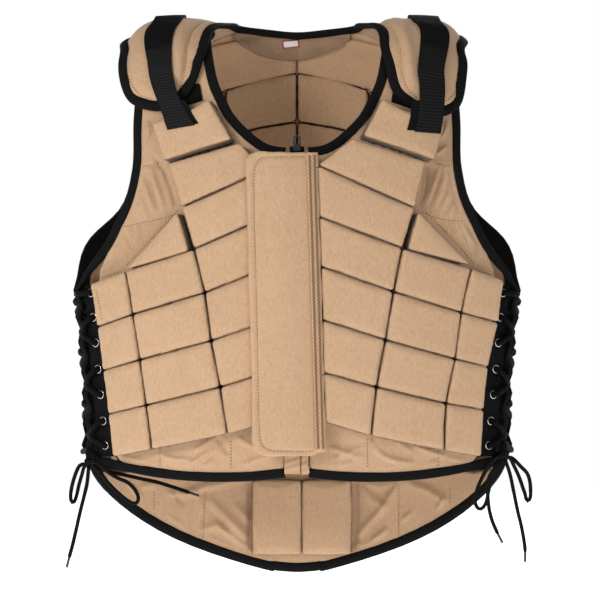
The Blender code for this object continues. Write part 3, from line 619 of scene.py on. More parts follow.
def freeLaces():
    for side, table in laces["bows"].items():
        route = [place(x, z, y * mm) for x, z, y in table]
        route = [knotExit(side, route[0])] + route + [knotExit(side, route[-1])]
        points = smoothRoute(route, laces["spacing"])
        name = f"bow_{side}"
        bow = addPiece(tube(f"lace_{name}", points, laces["radius"]), "lace", [name], "lace")
        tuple(points[0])
    for name, table in laces["ends"].items():
        side = name.split("_")[0]
        route = [place(x, z, y * mm) for x, z, y in table]
        route = [knotExit(side, route[0])] + route
        points = smoothRoute(route, laces["spacing"])
        tipped = [1.0] * len(points)
        first = len(points) - 1 - round(laces["tipLength"] / laces["spacing"])
        for i in range(first + 1, len(points)):
            tipped[i] = laces["tipShare"]
        node = f"lace_end_{name}"
        end = addPiece(tube(f"lace_{name}_end", points, laces["radius"], tipped), "lace", [node], "lace")
        tip = [points[i] for i in range(first, len(points))]
        tip.append(tip[-1] + (tip[-1] - tip[-2]).normalized() * laces["tipOut"])
        sleeve = tube(f"tip_{name}", tip, laces["tipRadius"])
        addPiece(sleeve, "tip", (), "lace")
        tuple(points[0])


freeLaces()
print("free laces laid")


pads = {
    "voxel": 1.9 * mm,
    "shrink": 0.995,
    "pressure": 4.0,
    "cap": 0.9 * mm,
    "frames": 20,
    "fill": 0.85,
    # height in metres and fineness of the unevenness
    "ripple": (0.16 * mm, 55),
    "flapVoxel": 1.7 * mm,
    "flapFill": 0.75,
    "flapRipple": (0.3 * mm, 40),
    # edges of the flaps that turn more than this many degrees stay sharp
    "flapSharp": 70,
    "stretch": 25,
    "bending": 1.2,
}


def evenFaces(item, size):
    # the same shape in even small faces, ready to swell
    even = item.modifiers.new("even", "REMESH")
    even.mode = "VOXEL"
    even.voxel_size = size
    return bakeModifiers(item)


def padForm(node):
    bm = cadCopy(node)
    centre = sum((v.co for v in bm.verts), Vector()) / len(bm.verts)
    for vert in bm.verts:
        vert.co = centre + (vert.co - centre) * pads["shrink"]
    return evenFaces(objectOf(f"{node}_foam", bm), pads["voxel"])


def flapForm(node):
    return evenFaces(rounded(f"{node}_cover", cadCopy(node), 3, pads["flapSharp"]), pads["flapVoxel"])


def swell(items):
    # cloth under light pressure, all pieces in one run; no point moves further than the cap
    before = {}
    for item in items:
        before[item.name] = meshArrays(item)[0]
        cloth = item.modifiers.new("cover", "CLOTH")
        cloth.settings.use_pressure = True
        cloth.settings.uniform_pressure_force = pads["pressure"]
        cloth.settings.effector_weights.gravity = 0
        cloth.settings.tension_stiffness = pads["stretch"]
        cloth.settings.compression_stiffness = pads["stretch"]
        cloth.settings.bending_stiffness = pads["bending"]
        cloth.settings.quality = 4
        cloth.point_cache.frame_start = 1
        cloth.point_cache.frame_end = pads["frames"]
    for number in range(1, pads["frames"] + 1):
        bpy.context.scene.frame_set(number)
    for item in items:
        bakeModifiers(item)
        moves = meshArrays(item)[0] - before[item.name]
        reach = np.maximum(np.linalg.norm(moves, axis=1), 1e-9)
        setPlaces(item, before[item.name] + moves * np.minimum(1, pads["cap"] / reach)[:, None])
    bpy.context.scene.frame_set(1)


def ripple(item, height, scale):
    # small unevenness that no sewn cover is free of
    places, normals = meshArrays(item)
    waves = np.array([noise.noise(Vector(point) * scale) for point in places])
    setPlaces(item, places + normals * (waves * height)[:, None])


def paddedPieces():
    blocks = [padForm(node) for node in sorted(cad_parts) if node.startswith(("pad_", "tail_pad"))]
    flaps = [flapForm(node) for node in ("shoulder_flap_left", "shoulder_flap_right", "centre_flap")]
    swell(blocks + flaps)
    for item in blocks:
        ripple(item, *pads["ripple"])
        # painted shade on the block's sides
        paintSideShade(item)
        addPiece(item, "cloth", [item.name.replace("_foam", "")], "cloth")
    for item in flaps:
        ripple(item, *pads["flapRipple"])
        addPiece(item, "cloth", [item.name.replace("_cover", "")], "cloth")
    return blocks, flaps


blocks, flaps = paddedPieces()
print("foam blocks and flaps swollen")


shoulders = {
    # half width in pixels and height in millimetres of each line
    "shape": {"groove": (2.0, -2.6), "hump": (6.0, 4.2), "second": (4.0, 2.0), "rim": (1.6, -1.6)},
    "wrinkle": (1.9, 1.3),
    # a long hump of foam beside a stitched groove, and a stitched rim
    "left": {
        "groove": ((203, 22), (193, 30), (188, 44), (186, 60), (184, 76), (180, 90)),
        "hump": ((186, 20), (181, 32), (179, 48), (178, 64), (179, 80)),
        "second": ((211, 25), (202, 36), (197, 52), (193, 70), (186, 86)),
        "rim": ((129, 46), (127.5, 60), (129.5, 80), (139, 94), (153, 99)),
    },
    "right": {
        "groove": ((376, 20), (389, 26), (397, 37), (401, 53), (402, 72), (407, 87), (417, 98)),
        "hump": ((391, 20), (403, 32), (408, 50), (409, 68), (411, 84)),
        "second": ((368, 26), (380, 32), (389, 46), (393, 64), (395, 80)),
        "rim": ((458, 44), (460.5, 56), (459, 78), (455, 92), (445, 102)),
    },
    "wrinkles": {
        "left": (((196, 62), (190, 92)), ((204, 40), (198, 66)), ((214, 30), (206, 52)),
                 ((190, 60), (188, 80))),
        "right": (((384, 40), (392, 62)), ((390, 60), (398, 86)), ((377, 30), (386, 44)),
                  ((398, 84), (408, 98))),
    },
}


def shoulderFlaps():
    for side, cover in zip(("left", "right"), flaps):
        table = shoulders[side]
        lines = [(table[line], *shape) for line, shape in shoulders["shape"].items()]
        lines += [(way, *shoulders["wrinkle"]) for way in shoulders["wrinkles"][side]]
        relief(cover, lines, 0.35, 0.3)
        tree = treeOf([cover])
        stitching(f"flap_stitches_{side}", [dict(points=table["groove"]), dict(points=table["rim"])], tree)


shoulderFlaps()
print("shoulder flaps stitched")


centreFlap = {
    "stitches": ((305, 156.5), (290, 156.5), (270, 157), (261, 158), (256, 164), (254, 176), (254.5, 220),
                 (256, 280), (257.5, 350), (259, 420), (260, 438), (263, 446), (271, 450.5), (300, 451.5),
                 (314, 451)),
    # the strip along its right edge where it is sewn to the vest
    "hinge": (((309.5, 155), (311.7, 230), (314.4, 320), (316.7, 400), (318.2, 449)),
              ((314.3, 155), (316.5, 230), (319.2, 320), (321.5, 400), (323, 449))),
    # left edge, right edge and height of the strip's two ends
    "stripTop": (307, 317, 152.5),
    "stripBottom": (316, 325.5, 452),
    "wave": 0.5,
    "stitchGroove": (1.6, -1.8),
    # two rows of slanted stitches hold the strip
    "zigzag": {"pitch": 2.1, "slant": math.radians(62), "size": 1.75},
    "stripSunk": 0.6 * mm,
    "stripLift": 2.0 * mm,
    "stripWall": 1.4 * mm,
}


def hingeStrip(cover):
    # the strip that joins the flap's right edge to the vest
    flapTree, blockTree = treeOf([cover]), treeOf(blocks)
    bm = gridOf(10, 180)
    top, bottom = centreFlap["stripTop"], centreFlap["stripBottom"]
    flapDepth = seen(flapTree, *spot(300, 440))[0].y
    found = [seen(blockTree, *spot(334, py)) for py in range(180, 430, 6)]
    blockDepth = [hit[0].y for hit in found if hit][-1]
    for vert in bm.verts:
        down, across = (1 - vert.co.y) / 2, (vert.co.x + 1) / 2
        py = top[2] + (bottom[2] - top[2]) * down
        left, right = top[0] + (bottom[0] - top[0]) * down, top[1] + (bottom[1] - top[1]) * down
        right += centreFlap["wave"] * math.sin(down * 44)
        onFlap, onBlock = seen(flapTree, *spot(left - 1, py)), seen(blockTree, *spot(right + 4, py))
        if onFlap is not None:
            flapDepth = onFlap[0].y
        if onBlock is not None:
            blockDepth = onBlock[0].y
        share = max(0.0, across * 1.25 - 0.25)
        start = flapDepth - centreFlap["stripSunk"]
        depth = start + (blockDepth + centreFlap["stripLift"] - start) * share ** 2
        depth += 0.12 * mm * math.cos(across * 4 * math.pi)
        vert.co = place(*spot(left + (right - left) * across, py), depth)
    return addPiece(walled("centre_flap_hinge", bm, centreFlap["stripWall"]), "cloth", (), "cloth")


def stitchCentreFlap():
    cover = flaps[2]
    relief(cover, [(centreFlap["stitches"], *centreFlap["stitchGroove"])], 0.3, 0.06)
    strip = hingeStrip(cover)
    tree = treeOf([cover, strip])
    rows = [dict(points=centreFlap["stitches"])]
    rows += [dict(points=row, **centreFlap["zigzag"]) for row in centreFlap["hinge"]]
    stitching("centre_flap_stitches", rows, tree)


stitchCentreFlap()
print("centre flap stitched")


# soft folds in the front's cloth: points in the photograph, half width in pixels, height in millimetres
folds = {
    # all folds are made this much narrower and higher, and each seam lies in a groove
    "narrower": 0.95,
    "higher": 2.3,
    "seam": (1.4, -1.0),
    "ripple": (0.5 * mm, 38),
    "left": (
        (((142, 137), (150, 122)), 2.6, 1.8), (((139, 156), (146, 140), (152, 126)), 2.8, 1.8),
        (((155, 156), (164, 172), (170, 190), (176, 207)), 2.6, -2.6),
        (((160, 166), (168, 186), (173, 205)), 2.3, 1.6), (((150, 166), (158, 190), (164, 211)), 3.2, 2.2),
        (((143, 178), (150, 198), (156, 213)), 2.8, 1.9), (((138, 190), (143, 206), (148, 218)), 2.6, 1.6),
        (((134, 200), (138, 212)), 2.4, 1.2), (((147, 176), (153, 196), (159, 212)), 1.8, -1.3),
        (((121, 230), (126, 243), (130, 252)), 2.6, 1.7), (((116, 238), (121, 249), (125, 257)), 2.4, 1.3),
        (((97, 273), (110, 265), (120, 251)), 2.6, 1.4), (((128, 228), (134, 240)), 2.4, 1.2),
        (((140, 226), (136, 244)), 2.8, 1.2), (((108, 262), (116, 254)), 2.0, -1.0),
        (((157, 454), (175, 459), (191, 460)), 2.6, 1.5), (((194, 452), (205, 444), (216, 437)), 2.6, 1.5),
        (((163, 470), (166, 458)), 2.2, 1.3), (((180, 471), (197, 460), (215, 448)), 2.8, 1.7),
        (((217, 437), (222, 446), (228, 454)), 2.2, -1.5), (((236, 438), (252, 446), (270, 452)), 2.8, 1.5),
        (((113, 461), (122, 465), (133, 469)), 2.4, 1.3), (((240, 466), (262, 458), (276, 452)), 2.6, 1.3),
        (((120, 456), (140, 461), (156, 466)), 2.4, 1.1), (((200, 468), (214, 460)), 2.2, 1.1),
    ),
    "right": (
        (((440, 140), (446, 128), (449, 119)), 2.6, 1.8), (((436, 155), (442, 150), (448, 146)), 2.4, 1.3),
        (((427, 162), (425, 184), (421, 206)), 2.6, -2.6), (((441, 164), (434, 184), (427, 203)), 3.0, 2.1),
        (((449, 172), (442, 192), (435, 208)), 2.8, 2.0), (((452, 192), (447, 206), (441, 216)), 2.6, 1.6),
        (((445, 166), (438, 188), (431, 206)), 1.8, -1.3), (((455, 204), (452, 216)), 2.2, 1.2),
        (((463, 223), (469, 239), (474, 256)), 2.6, 1.6), (((469, 236), (477, 248), (485, 258)), 2.4, 1.4),
        (((458, 225), (464, 244), (470, 258)), 2.4, 1.2), (((452, 226), (446, 234)), 2.4, 1.1),
        (((480, 262), (490, 268), (498, 272)), 2.2, 1.1), (((475, 240), (480, 256)), 1.8, -1.0),
        (((330, 447), (346, 453), (363, 458)), 2.8, 1.5),
        (((374, 447), (383, 456), (396, 461), (413, 463)), 2.8, 1.7),
        (((413, 445), (430, 452), (447, 457)), 2.6, 1.4), (((336, 458), (348, 452), (361, 447)), 2.4, 1.3),
        (((394, 437), (403, 446), (413, 452)), 2.4, 1.4), (((372, 434), (374, 443)), 2.0, -1.4),
        (((450, 458), (462, 462), (472, 462)), 2.4, 1.2), (((420, 468), (436, 461)), 2.2, 1.1),
        (((340, 468), (352, 461)), 2.2, 1.2), (((384, 469), (398, 466), (410, 468)), 2.2, 1.1),
    ),
    # rows of stitches, each in a slight groove
    "seams": {
        "left": (((123, 227), (140, 223), (160, 219), (176, 214)),
                 ((126, 266), (145, 246), (162, 228), (178, 210)), ((89, 283), (104, 277), (119, 272)),
                 ((139, 168), (149, 165), (159, 163)),
                 ((160, 448), (160, 470)), ((231, 440), (231, 469)), ((96, 290), (102, 320))),
        "right": (((422, 212), (434, 217), (448, 220), (463, 221)),
                  ((426, 212), (440, 226), (457, 244), (474, 264)), ((475, 270), (486, 273), (497, 276)),
                  ((437, 164), (444, 165), (451, 166)),
                  ((367.5, 438), (367.5, 468)), ((438.5, 450), (438.5, 467))),
    },
}


def higher(lines, share, narrower=1.0):
    return tuple((points, width * narrower, height * share) for points, width, height in lines)


def looksForward(face):
    return face.normal.y < -0.15


def clothFronts():
    for side in ("left", "right"):
        node = f"front_{side}"
        item = rounded(f"{node}_cloth", cadCopy(node), 3, 60)
        finer(item, looksForward)
        ripple(item, *folds["ripple"])
        strong = higher(folds[side], folds["higher"], folds["narrower"])
        seams = tuple((row, *folds["seam"]) for row in folds["seams"][side])
        relief(item, strong + seams, still=treeOf([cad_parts[f"binding_{side}"]]))
        # painted shade in the gaps between the pads
        paintGrooveShade(item, treeOf(blocks))
        addPiece(item, "cloth", [node], "cloth")
        tree = treeOf([item] + blocks)
        stitching(f"front_stitches_{side}", [dict(points=row) for row in folds["seams"][side]], tree)


clothFronts()
print("front cloth hung")


lacing = {
    # heights of the eyelets, and the front strip's height, inner and outer edge as they show in front
    "heights": (-300, -327, -355, -384, -412, -441, -468),
    "strip": ((-292, 218.6, 234), (-340, 213.6, 230), (-385, 208.6, 227), (-430, 203.6, 223),
              (-480, 199, 219)),
    # cloth surface below the armholes: height, front depth, back depth, half width
    "body": ((-640, 94, 104, 233), (-500, 99, 98, 229), (-420, 104, 94, 228), (-350, 109, 98, 233),
             (-290, 112, 104, 239), (-200, 111, 110, 238)),
    "frontRadius": 400,
    "sideY": -4,
    "backTurn": math.radians(76),
    "backStrip": 22,
    "backShare": 0.47,
    "backDrop": 4,
    "ring": 4.1 * mm,
    "ringWire": 0.8 * mm,
    # how far the rings stand out from their hole, front and back
    "ringLift": {"front": 1.5 * mm, "back": 3.0 * mm},
    # the held lace: its way out of the holes, along the strips and down behind the next hole
    "laceRadius": 3.2 * mm,
    "reach": {"front": 13.6 * mm, "back": 11.2 * mm},
    "under": {"front": 17.0 * mm, "back": 14.0 * mm},
    "behind": 4 * mm,
    "through": 3.4 * mm,
    "over": 5.4 * mm,
    "below": 5.0 * mm,
    "bulge": 1.2 * mm,
    "apart": 1.8 * mm,
    "laceSpacing": 2.2 * mm,
    "scallop": 4.2,
    "swell": 2.6,
}


def bodyAt(z):
    rows = lacing["body"]
    k = max(i for i in range(len(rows) - 1) if rows[i][0] <= z)
    t = (z - rows[k][0]) / (rows[k + 1][0] - rows[k][0])
    found = []
    for c in (1, 2, 3):
        a, b, d, e = (rows[min(len(rows) - 1, max(0, i))][c] for i in (k - 1, k, k + 1, k + 2))
        found.append(0.5 * (2 * b + (d - a) * t + (2 * a - 5 * b + 4 * d - e) * t ** 2
                            + (3 * b - a - 3 * d + e) * t ** 3))
    return found


def frontEyelet(sign, seenZ):
    k = max(i for i in range(4) if lacing["strip"][i][0] >= seenZ)
    (za, ia, oa), (zb, ib, ob) = lacing["strip"][k], lacing["strip"][k + 1]
    share = (seenZ - za) / (zb - za)
    middle = (ia + (ib - ia) * share + oa + (ob - oa) * share) / 2 + 1.0
    radius = lacing["frontRadius"]
    y = -0.08
    for _ in range(6):
        point = place(sign * middle, seenZ, y)
        across = math.sqrt(radius ** 2 - (point.x / mm) ** 2)
        y = -(bodyAt(point.z / mm)[0] - radius + across) * mm
    out = Vector((point.x / mm / across, -1, 0)).normalized()
    return Vector((point.x, y, point.z)) - out * 1.2 * mm, out


def backEyelet(sign, z):
    z -= lacing["backDrop"]
    _, back, half = bodyAt(z)
    turn, depth = lacing["backTurn"], back - lacing["sideY"]
    point = Vector((sign * half * math.sin(turn), lacing["sideY"] + depth * math.cos(turn), z)) * mm
    across = Vector((sign * half * math.cos(turn), -depth * math.sin(turn), 0)).normalized()
    out = Vector((sign * depth * math.sin(turn), half * math.cos(turn), 0)).normalized()
    return point + (across * lacing["backStrip"] * lacing["backShare"] - out * 1.5) * mm, out


def ring(bm, point, out):
    # a rolled metal eyelet: a small flattened circle spun round the hole
    turn = out.to_track_quat("Z", "Y").to_matrix().to_4x4()
    turn.translation = point
    made = bmesh.ops.create_circle(bm, cap_ends=False, segments=8, radius=lacing["ringWire"])
    for vert in made["verts"]:
        vert.co = Vector((vert.co.x + lacing["ring"], 0, vert.co.y * 0.75))
    edges = list({edge for vert in made["verts"] for edge in vert.link_edges})
    bmesh.ops.spin(bm, geom=made["verts"] + edges, cent=(0, 0, 0), axis=(0, 0, 1), angle=2 * math.pi,
                   steps=24, use_merge=True)
    loose = [vert for vert in bm.verts if not vert.tag]
    bmesh.ops.transform(bm, matrix=turn, verts=loose)
    for vert in bm.verts:
        vert.tag = True


def eyelets(side, sign):
    bm = bmesh.new()
    for z in lacing["heights"]:
        for end, (point, out) in (("front", frontEyelet(sign, z)), ("back", backEyelet(sign, z))):
            ring(bm, point + out * lacing["ringLift"][end], out)
    bmesh.ops.recalc_face_normals(bm, faces=bm.faces)
    addPiece(objectOf(f"eyelets_{side}", bm), "ring", (), "lacing_strip")


def heldLace(side, sign):
    # the lace crosses between the two rows of eyelets, up one way and down the other
    front = [(*frontEyelet(sign, z), "front") for z in lacing["heights"]]
    back = [(*backEyelet(sign, z), "back") for z in lacing["heights"]]
    count = len(front)
    rising = [(front if k % 2 == 0 else back)[k] for k in range(count - 1, -1, -1)]
    falling = [(back if k % 2 == 0 else front)[k] for k in range(count)]
    stops = rising + falling
    points = []
    for k, (point, out, end) in enumerate(stops):
        points += [point - out * lacing["behind"], point + out * lacing["through"]]
        if k == len(stops) - 1:
            break
        target, targetOut, targetEnd = stops[k + 1]
        way = (target - point).normalized()
        lean = Vector((sign, 0, 0)) * (lacing["apart"] if k < count else -lacing["apart"])
        over = point + (way - out * way.dot(out)).normalized() * lacing["reach"][end] + out * lacing["over"]
        inward = (way - targetOut * way.dot(targetOut)).normalized()
        under = target - inward * lacing["under"][targetEnd] - targetOut * lacing["below"]
        points += [over, (over + under) / 2 + lean + (out + targetOut) * lacing["bulge"], under]
    knot = knotPlace(side)
    way = (knot - point).normalized()
    points.append(point + (way - out * way.dot(out)).normalized() * 12 * mm + out * lacing["over"])
    lead = Vector((sign * 1, 5, 9)).normalized()
    points += [knot + lead * 14 * mm, knot + lead * 3 * mm]
    dense = smoothRoute(points, lacing["laceSpacing"])
    lace = tube(f"side_lace_{side}_cord", dense, lacing["laceRadius"], None, 2)
    addPiece(lace, "lace", [f"side_lace_{side}"], "lace")
    knotWraps(side, lead)


def knotWraps(side, lead):
    # the knot: a core with two turns of the lace pulled tight round it
    knot = knotPlace(side)
    across = lead.orthogonal().normalized()
    other = lead.cross(across)
    points = []
    for i in range(61):
        turn = i / 60 * 2 * math.pi * 2.5
        swing = math.cos(i / 60 * math.pi * 2) * 2.6 * mm
        points.append(knot + (across * math.cos(turn) + other * math.sin(turn)) * 3.0 * mm + lead * swing)
    addPiece(tube(f"knot_{side}", points, 1.9 * mm, None, 2), "lace", (), "lace")


for side, sign in (("left", -1), ("right", 1)):
    eyelets(side, sign)
    heldLace(side, sign)
print("sides laced")


def scallop(item, inner=203, reach=9.0):
    # the lace draws the edges of the eyelet strips, beyond x = inner millimetres, into waves
    top, bottom = lacing["heights"][0], lacing["heights"][-1]
    step = (top - bottom) / (len(lacing["heights"]) - 1)
    for vert in item.data.vertices:
        x, z = vert.co.x / mm, vert.co.z / mm
        if abs(x) < inner or vert.co.y > 0.03:
            continue
        ends = min(1, max(0, (top + 26 - z) / 18)) * min(1, max(0, (z - bottom + 24) / 18))
        wave = 0.5 + 0.5 * math.cos(2 * math.pi * (z - top) / step)
        side = math.copysign(1, x)
        strength = min(1, (abs(x) - inner) / reach)
        vert.co.x += side * ends * strength * (lacing["swell"] * 0.5 + lacing["scallop"] * wave) * mm


straps = {
    # the end leans: where the lean starts and stops, its shift, spread and rise at the far side, in pixels
    "lean": (84, 131),
    "left": {"edges": (161, 185), "shift": 5.5, "spread": 2.5, "rise": (2, 7), "fold": 3.5, "back": 0.3},
    "right": {"edges": (418, 442), "shift": -1.5, "spread": 1.0, "rise": (0, -2), "fold": -7.5, "back": -0.9},
    # the folded end's top in pixels and its drop; the arch over the shoulder, and where the ribs stop on it
    "foldTop": 108,
    "foldLift": 1.5 * mm,
    "springZ": -0.105,
    "rise": 0.093,
    "depth": 0.095,
    "archLength": 0.145,
    "smoothFrom": 0.072,
    "smoothOver": 0.003,
}


def strapPath(point):
    # length along the strap, from the front's chest over the shoulder
    up = point[2] - straps["springZ"]
    if up <= 0:
        return up
    turn = math.atan2(up / straps["rise"], -point[1] / straps["depth"])
    return turn * straps["archLength"] * 2 / math.pi


def leanEnd(item, table):
    places, _ = meshArrays(item)
    x, z = inView(places)
    (leftX, top), (rightX, bottom) = (spot(*corner) for corner in zip(table["edges"], straps["lean"]))
    share = np.clip((top - z) / (top - bottom), 0, 1) * (places[:, 1] < 0)
    side = np.clip((x - leftX) / (rightX - leftX), 0, 1)
    low, high = table["rise"]
    places[:, 0] += share ** 2 * (table["shift"] + (side - 0.5) * 2 * table["spread"]) * view["pixel"] * mm
    places[:, 2] += share * (low + (high - low) * side) * view["pixel"] * mm
    setPlaces(item, places)


def shoulderStrap(side):
    table = straps[side]
    item = rounded(f"strap_{side}_web", cadCopy(f"strap_{side}"), 3, 60)
    paths = np.array([strapPath(point) for point in meshArrays(item)[0]])
    keepValues(item, "along", paths)
    keepValues(item, "fuzz", np.clip((paths - straps["smoothFrom"]) / straps["smoothOver"], 0, 1))
    leanEnd(item, table)
    # the strap's end is turned back under itself, and shows beside it
    bm = bmesh.new()
    bm.from_mesh(item.data)
    limit = spot(0, straps["foldTop"])[1] * mm
    bmesh.ops.bisect_plane(bm, geom=bm.verts[:] + bm.edges[:] + bm.faces[:], plane_co=(0, 0, limit),
                           plane_no=(0, 0, 1), clear_outer=True)
    bmesh.ops.delete(bm, geom=[vert for vert in bm.verts if vert.co.y > 0], context="VERTS")
    bmesh.ops.holes_fill(bm, edges=[edge for edge in bm.edges if edge.is_boundary])
    shift = (table["fold"] * view["pixel"] * mm, table["back"] * mm, straps["foldLift"])
    bmesh.ops.translate(bm, verts=bm.verts, vec=shift)
    addPiece(item, "webbing", [f"strap_{side}"], "webbing")
    addPiece(objectOf(f"strap_{side}_fold", bm), "loop", (), "webbing")


# pieces that are a rounded copy of their solid; edges stay sharp from this many degrees
simple = {
    "binding": {"ending": "tape", "levels": 3, "sharp": 75, "finish": "binding", "slot": "binding"},
    "strap_anchor": {"ending": "patch", "levels": 1, "sharp": 50, "finish": "loop", "slot": "webbing"},
    "lacing_strip": {"ending": "cloth", "levels": 1, "sharp": 50, "finish": "strip", "slot": "lacing_strip"},
}


def simplePiece(kind, side):
    table, node = simple[kind], f"{kind}_{side}"
    item = rounded(f"{node}_{table['ending']}", cadCopy(node), table["levels"], table["sharp"])
    if kind == "binding":
        scallop(item)
    addPiece(item, table["finish"], [node], table["slot"])


def simplePieces():
    for side in ("left", "right"):
        simplePiece("binding", side)
        shoulderStrap(side)
        simplePiece("strap_anchor", side)
        simplePiece("lacing_strip", side)
    edging = rounded("back_tape", cadCopy("back_edging"), 2)
    scallop(edging, 212)
    addPiece(edging, "binding", ["back_edging"], "binding")


simplePieces()
print("bindings and straps made")


backs = {
    # the two blocks at the top inside the neck, in pixels
    "neck": {
        "left": {"span": (207, 296.6), "upper": ((207, 48), (212, 46), (238, 40), (262, 38), (297, 41)),
                 "lower": ((207, 94), (225, 89.6), (297, 72.4))},
        "right": {"span": (297.4, 387), "upper": ((297, 41), (334, 38), (356, 40), (380, 46), (387, 48)),
                  "lower": ((297, 72.4), (370.6, 89.6), (387, 94))},
    },
    "neckCrown": 1.2 * mm,
    "neckLift": 0.6 * mm,
    "neckWall": 0.7 * mm,
    # pixels across the middle, at which the height of the row below is taken
    "neckLook": (range(240, 355, 5), 68),
    # a block's top: faces flatter than this, at least so large in square metres and so level, and only a few
    "flat": math.radians(14),
    "least": 0.0008,
    "level": 0.4,
    "faces": 5,
    "gap": 1.2 * mm,
    "sunk": 1.2 * mm,
    "groove": 0.3 * mm,
    "voxel": 3.1 * mm,
    "crown": 1.3 * mm,
    "crownReach": 9 * mm,
    "fill": 0.85,
    "ripple": (0.2 * mm, 50),
    "shellRipple": (0.5 * mm, 35),
}


def blockTops(bm):
    # groups of level faces whose whole outline falls away: the tops of the foam blocks
    groups, taken = [], set()
    for face in bm.faces:
        if face in taken:
            continue
        group, reach = [], [face]
        taken.add(face)
        while reach:
            here = reach.pop()
            group.append(here)
            for edge in here.edges:
                if len(edge.link_faces) == 2 and edge.calc_face_angle() < backs["flat"]:
                    fresh = [other for other in edge.link_faces if other not in taken]
                    taken.update(fresh)
                    reach += fresh
        rim = [edge for one in group for edge in one.edges
               if any(other not in group for other in edge.link_faces)]
        level = abs(groupNormal(group).y) > backs["level"] and len(group) < backs["faces"]
        large = sum(one.calc_area() for one in group) > backs["least"]
        if level and large and all(edge.is_convex for edge in rim):
            groups.append(group)
    return groups


def groupNormal(faces):
    return sum((face.normal * face.calc_area() for face in faces), Vector()).normalized()


def groupRelief(group):
    # how far each top corner stands above the groove beside it
    normal = groupNormal(group)
    corners = {vert for face in group for vert in face.verts}
    heights = {}
    for vert in corners:
        drops = [normal.dot(vert.co - edge.other_vert(vert).co) for edge in vert.link_edges
                 if edge.other_vert(vert) not in corners]
        if drops:
            heights[vert] = max(drops)
    return normal, corners, heights


def foamBlock(bm, indices, normal, height):
    # one block: its top, spread into the groove, given depth, evened out and crowned
    form = bm.copy()
    others = [face for face in form.faces if face.index not in indices]
    bmesh.ops.delete(form, geom=others, context="FACES")
    moves = {}
    for edge in form.edges:
        if edge.is_boundary:
            face = edge.link_faces[0]
            out = (edge.verts[1].co - edge.verts[0].co).cross(face.normal).normalized()
            middle = (edge.verts[0].co + edge.verts[1].co) / 2
            if out.dot(middle - face.calc_center_median()) < 0:
                out = -out
            for vert in edge.verts:
                moves.setdefault(vert, []).append(out)
    rim = [edge for edge in form.edges if edge.is_boundary]
    for vert, outs in moves.items():
        mean = sum(outs, Vector())
        vert.co += mean / max(0.5, 1 + outs[0].dot(outs[-1])) * backs["gap"]
    segments = [(edge.verts[0].co.copy(), edge.verts[1].co.copy()) for edge in rim]
    centre = sum((vert.co for vert in form.verts), Vector()) / len(form.verts)
    item = objectOf("block", form)
    depth = item.modifiers.new("depth", "SOLIDIFY")
    depth.thickness = height + backs["sunk"]
    depth.offset = -1
    depth.use_even_offset = True
    evenFaces(item, backs["voxel"])
    places, _ = meshArrays(item)
    nearest = np.full(len(places), 1.0)
    for start, end in segments:
        way = np.array(end - start)
        rest = places - np.array(start)
        share = np.clip(rest @ way / (way @ way), 0, 1)
        nearest = np.minimum(nearest, np.linalg.norm(rest - share[:, None] * way, axis=1))
    above = (places - np.array(centre)) @ np.array(normal) > -height * 0.6
    crown = backs["crown"] * (1 - np.exp(-(nearest / backs["crownReach"]) ** 2)) * above
    setPlaces(item, places + crown[:, None] * np.array(normal))
    return item


def makeBack():
    bm = cadCopy("back")
    bm.faces.index_update()
    joined = {"outer": bmesh.new(), "inner": bmesh.new()}
    lowered = []
    for group in blockTops(bm):
        normal, corners, heights = groupRelief(group)
        height = sum(heights.values()) / len(heights)
        block = foamBlock(bm, {face.index for face in group}, normal, height)
        joined["outer" if normal.y > 0 else "inner"].from_mesh(block.data)
        bpy.data.objects.remove(block)
        lowered += [(vert, -normal * (heights.get(vert, height) - backs["groove"])) for vert in corners]
    for vert, move in lowered:
        vert.co += move
    shell = rounded("back_cloth", bm, 3, 60)
    pieces = [shell]
    for side, mesh in joined.items():
        foam = objectOf(f"back_blocks_{side}", mesh)
        ripple(foam, *backs["ripple"])
        addPiece(foam, "cloth", (), "cloth")
        pieces.append(foam)
    return pieces


